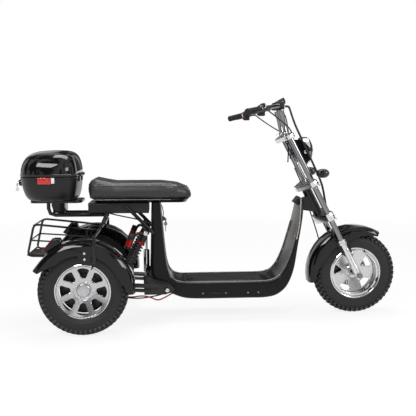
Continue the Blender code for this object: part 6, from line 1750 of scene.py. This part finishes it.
@dataclass
class Tail:
    """The rack, basket, dampers and frame round the rear axle."""

    coil_turns: float = 9.0
    coil_radius: float = 0.0185
    wire: float = 0.0046
    arm_y: float = 0.1503

    def coil(self, start: Vector, end: Vector) -> Body:
        """Return a coil spring between two points.

        Args:
            start: Its lower end.
            end: Its upper end.

        Returns:
            The coil.
        """
        way = []
        steps = int(self.coil_turns * 20)
        for step in range(steps + 1):
            turn = math.tau * self.coil_turns * step / steps
            way.append((math.cos(turn) * self.coil_radius, step / steps * (end - start).length,
                math.sin(turn) * self.coil_radius))
        return Forge.moved(Forge.sweep(way, self.wire, 8), Forge.along(start, end))

    def shock(self, bench: Bench, sign: float, side: str) -> None:
        """Rebuild one coil-over shock with its collars and side reservoir.

        Args:
            bench: The bench.
            sign: One left, minus one right.
            side: The side's name.
        """
        top = Vector((-0.345, sign * 0.168, 0.476))
        low = Vector((-0.455, sign * 0.168, 0.262))
        way = (top - low).normalized()
        reach = (top - low).length
        core = Forge.turned([(0.0, 0.0), (0.0135, 0.0), (0.0135, 0.08), (0.0125, 0.082),
            (0.0125, reach - 0.03), (0.0, reach - 0.03)], low, top, 32)
        for eye in (low, top):
            inner = Vector((eye.x, sign * self.arm_y, eye.z))
            Forge.add(core, Forge.bar(inner, eye + Vector((0.0, sign * 0.016, 0.0)), 0.0125, 32))
        bench.put(f"shock_body_{side}", core, "dark_steel", "chassis", 35.0, (f"shock_{side}",))
        spring = self.coil(low + way * 0.036, top - way * 0.058)
        bench.put(f"shock_coil_{side}", spring, "satin_plastic", "chassis", 60.0)
        collar = [(0.0, 0.0), (0.0205, 0.0), (0.0215, 0.0015), (0.0215, 0.0065), (0.0195, 0.008),
            (0.0195, 0.011), (0.017, 0.012), (0.0, 0.012)]
        red = Forge.turned(collar, low + way * 0.036, low + way * 0.02, 40)
        Forge.add(red, Forge.turned(collar, top - way * 0.058, top - way * 0.04, 40))
        dark = Forge.turned([(0.0, 0.0), (0.0185, 0.0), (0.0185, 0.034), (0.0, 0.034)],
            top - way * 0.046, top, 40)
        tank_top = Vector((-0.41, sign * 0.168, 0.47))
        tank_low = Vector((-0.44, sign * 0.168, 0.4))
        Forge.add(red, Forge.bar(tank_low, tank_top, 0.0165, 40, 0.003))
        Forge.add(dark, Forge.sweep(Forge.path([tank_top + Vector((0.004, 0.0, -0.01)),
            (-0.385, sign * 0.168, 0.478), top + Vector((-0.008, 0.0, -0.012))], 0.01), 0.008, 12))
        bench.put(f"shock_head_{side}", dark, "gloss_black", "chassis", 35.0)
        bench.put(f"shock_reservoir_{side}", red, "red_anodised", "chassis", 35.0)
        black = Forge.turned([(0.0, -0.004), (0.0145, -0.004), (0.0172, 0.0), (0.0172, 0.012),
            (0.0, 0.012)], tank_low, tank_top, 40)
        Forge.add(black, Forge.turned([(0.0, 0.048), (0.0174, 0.048), (0.0174, 0.074), (0.015, 0.078),
            (0.0, 0.078)], tank_low, tank_top, 40))
        bench.put(f"shock_reservoir_cap_{side}", black, "satin_plastic", "chassis")

    def build(self, bench: Bench) -> None:
        """Make the tail's pieces.

        Args:
            bench: The bench.
        """
        for sign, side in SIDES:
            self.shock(bench, sign, side)
        for node, finish in (("case_rack", "black_frame"), ("basket", "black_frame"),
                ("rear_frame", "black_frame"), ("seat_struts", "black_frame"),
                ("underseat_box", "satin_plastic"), ("rear_axle", "dark_steel")):
            bench.eased(node, finish, 0.0008, "chassis")
        damper = Forge.turned([(0.0, 0.0), (0.0155, 0.0), (0.016, 0.002), (0.016, 0.118),
            (0.0135, 0.121), (0.006, 0.122), (0.006, 0.2), (0.012, 0.202), (0.012, 0.221),
            (0.0, 0.221)], (-0.345, 0.0, 0.244), (-0.345, 0.0, 0.465), 40)
        bench.put("centre_damper_tube", damper, "chrome", "chassis", 35.0, ("centre_damper",))
        bolts = bmesh.new()
        for sign in (1.0, -1.0):
            for spot in ((-0.345, sign * 0.184, 0.476), (-0.455, sign * 0.184, 0.262)):
                Forge.add(bolts, Forge.bolt(spot, (0.0, sign, 0.0), 0.0075, 0.008))
        bench.put("shock_bolts", bolts, "chrome", "chassis")


@dataclass
class Fork:
    """The raked fork: stanchions, sliders, collars, crowns with pinch bolts, and its front guard."""

    lead: float = 0.46175
    rise: float = 0.88701
    leg_y: float = 0.092
    axis_x: float = 1.2125
    axis_z: float = 0.6
    slope: float = 0.520567
    rear_axle: float = 0.645
    offset: float = 0.03

    def axis_at(self, z: float) -> float:
        """Return how far forward the steering axis is at a height."""
        return self.axis_x - (z - self.axis_z) * self.slope - self.rear_axle

    def leg_at(self, z: float, sign: float) -> Vector:
        """Return the middle of a leg at a height."""
        return Vector((self.axis_at(z) + self.offset / self.rise, sign * self.leg_y, z))

    def build_leg(self, bench: Bench, sign: float, side: str) -> None:
        """Rebuild one leg from the axle up.

        Args:
            bench: The bench.
            sign: One left, minus one right.
            side: The side's name.
        """
        axle = Vector((0.79601, sign * self.leg_y, 0.226))
        up = Vector((-self.lead, 0.0, self.rise))
        leg = Forge.turned([(0.0, -0.026), (0.015, -0.026), (0.019, -0.022), (0.019, 0.056),
            (0.0162, 0.064), (0.0158, 0.189), (0.0165, 0.19), (0.0, 0.19)], axle, axle + up, 48)
        bench.put(f"fork_slider_{side}", leg, "polished_alloy", "steering", 30.0, (f"fork_leg_{side}",))
        tube = Forge.turned([(0.0, 0.189), (0.015, 0.189), (0.015, 0.84), (0.0135, 0.8418),
            (0.0, 0.8418)], axle, axle + up, 48)
        collar = Forge.turned([(0.0, 0.1885), (0.02, 0.1885), (0.0225, 0.191), (0.0225, 0.203),
            (0.0212, 0.2045), (0.0225, 0.206), (0.0225, 0.2155), (0.0205, 0.2175), (0.0, 0.2175)], axle,
            axle + up, 48)
        cap = Forge.turned([(0.0, 0.8415), (0.012, 0.8415), (0.012, 0.847), (0.0105, 0.849),
            (0.0, 0.849)], axle, axle + up, 6)
        bench.put(f"fork_stanchion_{side}", Forge.add(tube, cap), "fork_chrome", "steering", 30.0)
        bench.put(f"fork_collar_{side}", collar, "chrome", "steering", 30.0)
        nut = Forge.turned([(0.0, 0.0), (0.014, 0.0), (0.014, 0.003), (0.0, 0.003)],
            axle + Vector((0.0, sign * 0.0185, 0.0)), axle + Vector((0.0, sign * 0.04, 0.0)), 32)
        head = Forge.turned([(0.0, 0.003), (0.0105, 0.003), (0.0105, 0.012), (0.0085, 0.014),
            (0.0, 0.014)], axle + Vector((0.0, sign * 0.0185, 0.0)),
            axle + Vector((0.0, sign * 0.04, 0.0)), 6)
        bench.put(f"axle_nut_{side}", Forge.add(nut, head), "chrome", "steering", 30.0)

    def pinch_bolts(self, bench: Bench) -> None:
        """Put bolts on the crowns and the top clamp.

        Args:
            bench: The bench.
        """
        bolts = bmesh.new()
        for z, gap in ((0.706, 0.007), (0.53, 0.01)):
            for sign in (1.0, -1.0):
                leg = self.leg_at(z, sign)
                ahead = Vector((self.rise, 0.0, self.lead))
                for step in (-gap, gap):
                    up = Vector((-self.lead, 0.0, self.rise)) * step
                    Forge.add(bolts, Forge.bolt(leg + ahead * 0.025 + up, ahead, 0.0042, 0.006))
                    side = Vector((0.0, sign, 0.0))
                    Forge.add(bolts, Forge.screw(leg + side * 0.0255 + up, side, 0.0042))
        for z, sign in ((0.9745, 1.0), (0.9745, -1.0)):
            axis = Vector((self.axis_at(z), 0.0, z))
            Forge.add(bolts, Forge.bolt(axis + Vector((0.0, sign * 0.042, 0.002)),
                (-self.lead, 0.0, self.rise), 0.0055, 0.007))
        bench.put("crown_bolts", bolts, "chrome", "steering", 30.0)

    def guard(self, bench: Bench) -> None:
        """Dress the front guard and add its bolts.

        Args:
            bench: The bench.
        """
        bench.eased("front_mudguard", "gloss_black", 0.003, "steering", 25.0)
        metal = bmesh.new()
        for sign in (1.0, -1.0):
            spots = (self.leg_at(0.395, sign) + Vector((0.0, sign * 0.016, 0.0)),
                self.leg_at(0.363, sign) + Vector((0.006, sign * 0.016, 0.0)))
            for spot in spots:
                Forge.add(metal, Forge.turned([(0.0, 0.0), (0.0078, 0.0), (0.008, 0.003),
                    (0.0055, 0.0065), (0.0, 0.008)], spot, spot + Vector((0.0, sign, 0.0)), 24))
        bench.put("front_guard_bolts", metal, "chrome", "steering", 30.0)

    def build(self, bench: Bench) -> None:
        """Make the fork's pieces.

        Args:
            bench: The bench.
        """
        for sign, side in SIDES:
            self.build_leg(bench, sign, side)
        bench.eased("fork_crowns", "polished_alloy", 0.0012, "steering")
        bench.eased("top_clamp", "polished_alloy", 0.0015, "steering")
        bench.eased("front_axle", "grey_steel", 0.0006, "steering")
        self.pinch_bolts(bench)
        self.guard(bench)
        caliper = Forge.box((0.704, 0.041, 0.2), (0.736, 0.0462, 0.256), 0.002)
        Forge.add(caliper, Forge.box((0.704, 0.061, 0.2), (0.736, 0.0705, 0.256), 0.002),
            Forge.box((0.69, 0.041, 0.204), (0.7015, 0.0705, 0.252), 0.002))
        bench.put("brake_caliper", caliper, "black_frame", "steering")


@dataclass
class Bar:
    """The handlebar with its risers, grips, pods, buttons, levers and gauge."""

    end: Vector = field(default_factory=lambda: Vector((0.145, -0.368, 1.0795)))
    inner: Vector = field(default_factory=lambda: Vector((0.223, -0.268, 1.098)))

    def at(self, reach: float, sign: float) -> Vector:
        """Return a point on the grip's axis, measured from its outer end inward.

        Args:
            reach: How far from the outer end.
            sign: One left, minus one right.

        Returns:
            The point.
        """
        way = (self.inner - self.end).normalized()
        spot = self.end + way * reach
        return Vector((spot.x, spot.y * -sign, spot.z))

    def grip(self, bench: Bench, sign: float, side: str) -> None:
        """Rebuild a ribbed grip with its end cap and bright ring.

        Args:
            bench: The bench.
            sign: One left, minus one right.
            side: The side's name.
        """
        profile = [(0.0, 0.0), (0.0135, 0.0), (0.0165, 0.002), (0.017, 0.006), (0.015, 0.009)]
        reach = 0.01
        while reach < 0.104:
            profile += [(0.0148, reach), (0.016, reach + 0.0012), (0.016, reach + 0.003),
                (0.0148, reach + 0.0042)]
            reach += 0.0062
        profile += [(0.015, 0.112), (0.0182, 0.114), (0.0182, 0.119), (0.0, 0.119)]
        rubber = Forge.turned(profile, self.at(0.0, sign), self.at(0.1, sign), 40)
        bench.put(f"grip_rubber_{side}", rubber, "rubber", "steering", 30.0, (f"grip_{side}",))
        ring = Forge.turned([(0.0, 0.119), (0.017, 0.119), (0.018, 0.121), (0.018, 0.126),
            (0.0165, 0.128), (0.0, 0.128)], self.at(0.0, sign), self.at(0.1, sign), 40)
        bench.put(f"grip_ring_{side}", ring, "chrome", "steering", 30.0)

    def pod(self, bench: Bench, sign: float, side: str) -> None:
        """Make a switch pod, its red button and the brake lever.

        Args:
            bench: The bench.
            sign: One left, minus one right.
            side: The side's name.
        """
        case = Forge.turned([(0.0, 0.128), (0.0195, 0.128), (0.0215, 0.131), (0.0215, 0.152),
            (0.019, 0.156), (0.0, 0.156)], self.at(0.0, sign), self.at(0.1, sign), 32)
        spot = self.at(0.141, sign)
        bulge = Forge.box((-0.017, -0.013, -0.034), (0.017, 0.013, -0.006), 0.005, 3)
        Forge.add(case, Forge.moved(bulge, Matrix.Translation(spot)))
        bench.put(f"switch_pod_{side}", case, "matt_plastic", "steering")
        buttons = bmesh.new()
        for offset, height in ((-0.006, -0.014), (0.006, -0.026)):
            start = spot + Vector((-0.016, offset, height))
            Forge.add(buttons, Forge.bar(start, start + Vector((-0.0055, 0.0, 0.0)), 0.0042, 20))
        bench.put(f"switch_buttons_{side}", buttons, "red_button", "steering")
        mount = self.at(0.166, sign)
        lever = Forge.path([mount + Vector((0.016, 0.0, 0.002)),
            mount + Vector((0.034, -sign * 0.012, 0.0)),
            self.at(0.11, sign) + Vector((0.04, 0.0, -0.002)),
            self.at(0.03, sign) + Vector((0.036, 0.0, -0.004)),
            self.at(0.004, sign) + Vector((0.04, 0.0, -0.002))], 0.022)
        blade = Forge.sweep(lever, 0.0062, 12, 0.62)
        perch = Forge.turned([(0.0, -0.009), (0.016, -0.009), (0.0175, -0.006), (0.0175, 0.006),
            (0.016, 0.009), (0.0, 0.009)], mount, self.at(0.2, sign), 28)
        Forge.add(blade, perch, Forge.moved(Forge.box((0.004, -0.009, -0.013), (0.03, 0.009, 0.004),
            0.003), Matrix.Translation(mount)))
        bench.put(f"brake_lever_{side}", blade, "dark_steel", "steering", 50.0)

    def build(self, bench: Bench) -> None:
        """Make the handlebar's pieces.

        Args:
            bench: The bench.
        """
        self.tube(bench)
        for sign, side in SIDES:
            self.grip(bench, sign, side)
            self.pod(bench, sign, side)
        self.gauge(bench)

    def tube(self, bench: Bench) -> None:
        """Rebuild the bar's tube with its two risers and their caps.

        Args:
            bench: The bench.
        """
        half = [(0.367, 0.0, 1.13), (0.36, 0.07, 1.1295), (0.315, 0.15, 1.12), (0.223, 0.268, 1.098),
            (0.158, 0.351, 1.0826)]
        left = [Vector(point) for point in half]
        right = [Vector((point[0], -point[1], point[2])) for point in half[:0:-1]]
        bar = Forge.sweep(Forge.path(right + left, 0.05, 8), 0.0118, 24)
        bench.put("bar_tube", bar, "fork_chrome", "steering", 40.0, ("handlebar",))
        risers = bmesh.new()
        caps = bmesh.new()
        for sign in (1.0, -1.0):
            low = Vector((0.3985, sign * 0.05, 0.978))
            top = Vector((0.364, sign * 0.05, 1.127))
            Forge.add(risers, Forge.turned(
                [(0.0, 0.0), (0.019, 0.0), (0.019, 0.01), (0.014, 0.014), (0.0125, 0.02),
                (0.0125, 0.095),
                 (0.0145, 0.1), (0.0165, 0.112), (0.0165, 0.132), (0.0, 0.132)], low, top, 32))
            Forge.add(caps, Forge.moved(Forge.box((-0.023, -0.016, -0.02), (0.023, 0.016, 0.02), 0.006,
                3), Matrix.Translation(top + Vector((0.0, 0.0, 0.004)))))
            for ahead in (-0.016, 0.016):
                Forge.add(risers, Forge.screw(top + Vector((ahead, 0.0, 0.0238)), (0.0, 0.0, 1.0),
                    0.0042))
        bench.put("bar_risers", risers, "fork_chrome", "steering", 30.0)
        bench.put("bar_caps", caps, "matt_plastic", "steering", 30.0)

    def gauge(self, bench: Bench) -> None:
        """Make the round gauge on the bar, its bracket, and the ringed buttons beside the grips.

        Args:
            bench: The bench.
        """
        back = Vector((-0.5, 0.0, 0.87)).normalized()
        centre = Vector((0.376, 0.0, 1.144))
        dial = Forge.turned([(0.0, -0.012), (0.024, -0.012), (0.03, -0.004), (0.032, 0.006),
            (0.032, 0.018), (0.03, 0.021), (0.027, 0.021), (0.026, 0.018), (0.0, 0.018)], centre,
            centre + back, 48)
        Forge.add(dial, Forge.box((0.358, -0.014, 1.12), (0.386, 0.014, 1.142), 0.004, 2))
        bench.put("gauge_case", dial, "matt_plastic", "steering", 30.0)
        glass = Forge.turned([(0.0, 0.018), (0.0255, 0.018), (0.025, 0.0195), (0.0, 0.02)], centre,
            centre + back, 48)
        bench.put("gauge_glass", glass, "dark_glass", "steering", 30.0)
        for sign, side in SIDES:
            spot = Vector((0.238, sign * 0.262, 1.112))
            away = Vector((-0.3, sign, 0.25)).normalized()
            ring = Forge.turned([(0.0115, 0.0), (0.0165, 0.0), (0.0175, 0.003), (0.0165, 0.008),
                (0.013, 0.009), (0.0115, 0.006)], spot, spot + away, 32, True)
            bench.put(f"button_ring_{side}", ring, "chrome", "steering", 30.0)
            knob = Forge.turned([(0.0, -0.008), (0.0112, -0.008), (0.0112, 0.003), (0.0085, 0.0065),
                (0.0, 0.0075)], spot, spot + away, 32)
            bench.put(f"button_knob_{side}", knob, "matt_plastic", "steering", 30.0)


@dataclass
class Lights:
    """The headlamp and the two turn signals."""

    lamp: Vector = field(default_factory=lambda: Vector((0.515, 0.0, 0.893)))

    def headlamp(self, bench: Bench) -> None:
        """Rebuild the lamp's shell, rim and domed lens between its side plates.

        Args:
            bench: The bench.
        """
        bench.eased("headlamp", "gloss_black", 0.0015, "steering", 25.0)
        rim = Forge.turned([(0.0, -0.034), (0.07, -0.034), (0.0735, -0.028), (0.0745, -0.009),
            (0.0745, 0.006), (0.072, 0.011), (0.0665, 0.0115), (0.065, 0.002), (0.0, 0.002)], self.lamp,
            self.lamp + Vector((1.0, 0.0, 0.0)), 96)
        bench.put("headlamp_rim", rim, "chrome", "steering", 25.0)
        glass = Forge.turned([(0.0, 0.002), (0.066, 0.002), (0.064, 0.012), (0.056, 0.024),
            (0.042, 0.0335), (0.022, 0.0395), (0.0, 0.0412)], self.lamp,
            self.lamp + Vector((1.0, 0.0, 0.0)), 96)
        bench.put("headlamp_glass", glass, "lamp_glass", "steering", 60.0)
        bolts = bmesh.new()
        for sign in (1.0, -1.0):
            Forge.add(bolts, Forge.bolt((0.497, sign * 0.0955, 0.889), (0.0, sign, 0.0), 0.0075,
                0.0075))
            Forge.add(bolts, Forge.screw((0.462, sign * 0.095, 0.868), (0.0, sign, 0.0), 0.0042))
        bench.put("headlamp_bolts", bolts, "chrome", "steering", 30.0)

    def signal(self, bench: Bench, sign: float, side: str) -> None:
        """Rebuild one egg-shaped turn signal with its smoked lens and stalk boot.

        Args:
            bench: The bench.
            sign: One left, minus one right.
            side: The side's name.
        """
        start = Vector((0.549, sign * 0.135, 0.777))
        shell = Forge.turned([(0.0, -0.006), (0.008, -0.005), (0.015, 0.0), (0.02, 0.009),
            (0.0232, 0.021), (0.024, 0.031), (0.0228, 0.034), (0.0, 0.034)], start,
            start + Vector((1.0, 0.0, 0.0)), 48)
        arm = Forge.turned([(0.0, 0.0), (0.011, 0.0), (0.0095, 0.01), (0.008, 0.03), (0.0, 0.03)],
            start + Vector((0.026, -sign * 0.016, 0.0)), start + Vector((0.026, -sign * 0.06, 0.0)), 24)
        bench.put(f"signal_shell_{side}", Forge.add(shell, arm), "gloss_black", "steering", 30.0,
            (f"turn_signal_{side}",))
        lens = Forge.turned([(0.0, 0.033), (0.0232, 0.033), (0.024, 0.036), (0.0222, 0.046),
            (0.0165, 0.056), (0.0085, 0.0625), (0.0, 0.0645)], start, start + Vector((1.0, 0.0, 0.0)),
            48)
        bench.put(f"signal_lens_{side}", lens, "smoked_lens", "steering", 40.0)

    def build(self, bench: Bench) -> None:
        """Make the lamps.

        Args:
            bench: The bench.
        """
        self.headlamp(bench)
        for sign, side in SIDES:
            self.signal(bench, sign, side)


@dataclass
class Cables:
    """The wires and brake lines, all held at both ends."""

    def build(self, bench: Bench) -> None:
        """Make the cables' pieces.

        Args:
            bench: The bench.
        """
        ways = {
            "steering": (
                ((0.268, -0.214, 1.098), (0.33, -0.18, 1.06), (0.42, -0.1, 1.0), (0.432, -0.055, 0.93),
                 (0.425, -0.04, 0.85)),
                ((0.268, 0.214, 1.098), (0.34, 0.17, 1.04), (0.425, 0.09, 0.98), (0.435, 0.05, 0.92),
                 (0.43, 0.04, 0.83)),
                ((0.345, -0.03, 1.128), (0.392, -0.048, 1.09), (0.412, -0.04, 1.01),
                    (0.42, -0.03, 0.94)),
                ((0.345, 0.03, 1.128), (0.392, 0.048, 1.086), (0.41, 0.04, 1.0), (0.418, 0.03, 0.93)),
                ((0.69, 0.06, 0.255), (0.64, 0.088, 0.34), (0.6, 0.086, 0.47), (0.56, 0.084, 0.58),
                 (0.52, 0.07, 0.7), (0.47, 0.05, 0.8)),
            ),
            "chassis": (
                ((-0.56, -0.08, 0.165), (-0.48, -0.1, 0.13), (-0.38, -0.106, 0.12),
                 (-0.27, -0.09, 0.135), (-0.19, -0.07, 0.16)),
                ((-0.56, -0.06, 0.575), (-0.47, -0.118, 0.56), (-0.39, -0.122, 0.545),
                    (-0.31, -0.1, 0.515)),
            ),
        }
        for body, routes in ways.items():
            bundle = bmesh.new()
            for route in routes:
                Forge.add(bundle, Forge.sweep(Forge.path(route, 0.05, 6), 0.0034, 10))
            bench.put(f"cables_{body}", bundle, "rubber", body, 60.0)
        bench.eased("front_loom", "rubber", 0.0004, "steering", 60.0)
        lead = Forge.path([(-0.586, -0.06, 0.15), (-0.5, -0.085, 0.136), (-0.43, -0.1, 0.127),
            (-0.365, -0.103, 0.136), (-0.32, -0.104, 0.126), (-0.288, -0.104, 0.108),
            (-0.25, -0.1, 0.122), (-0.2, -0.08, 0.146), (-0.149, -0.06, 0.158)], 0.03, 5)
        bench.put("red_lead_wire", Forge.sweep(lead, 0.0036, 12), "red_lead", "chassis", 60.0,
            ("red_lead",))
        bench.eased("relay_box", "matt_plastic", 0.0015, "chassis")


def wheels(bench: Bench) -> None:
    """Build the three wheels.

    Args:
        bench: The bench.
    """
    front = Vector((0.79601, 0.0, 0.226))
    front_rows = (LugRow(0.0115, 0.0165, 0.0175, 0.0128, 0.0), LugRow(0.03, 0.0155, 0.014, 0.0122, 0.5),
        LugRow(0.0405, 0.0175, 0.015, 0.0095, 0.0, 0.1))
    Tyre("front_tyre", "front_wheel", front, 0.226, 0.05, 0.139, 0.046, 0.013, 48,
        front_rows).build(bench)
    FrontWheel(front).build(bench)
    rear_rows = (LugRow(0.012, 0.018, 0.019, 0.009, 0.0), LugRow(0.033, 0.017, 0.017, 0.0088, 0.5),
        LugRow(0.048, 0.0165, 0.02, 0.0062, 0.0, 0.1))
    for out, side in SIDES:
        centre = Vector((-0.645, out * 0.302, 0.2195))
        Tyre(f"rear_tyre_{side}", f"rear_wheel_{side}", centre, 0.2195, 0.0575, 0.1335, 0.042, 0.0092,
            52, rear_rows).build(bench)
        RearWheel(side, out, centre).build(bench)


def main() -> None:
    """Build the looks in order, logging each piece as it is made."""
    logging.basicConfig(level=logging.INFO, format="%(name)s: %(message)s")
    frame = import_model()
    bench = Bench(frame, Palette.mix())
    bench.dress_all()
    Stage().build()
    PhotoCamera().build()
    wheels(bench)
    for assembly in (RearGuards(), Tail(), TopCase(), Seat(), Tub(), Fork(), Bar(), Lights(), Cables()):
        assembly.build(bench)


if __name__ == "__main__":
    main()
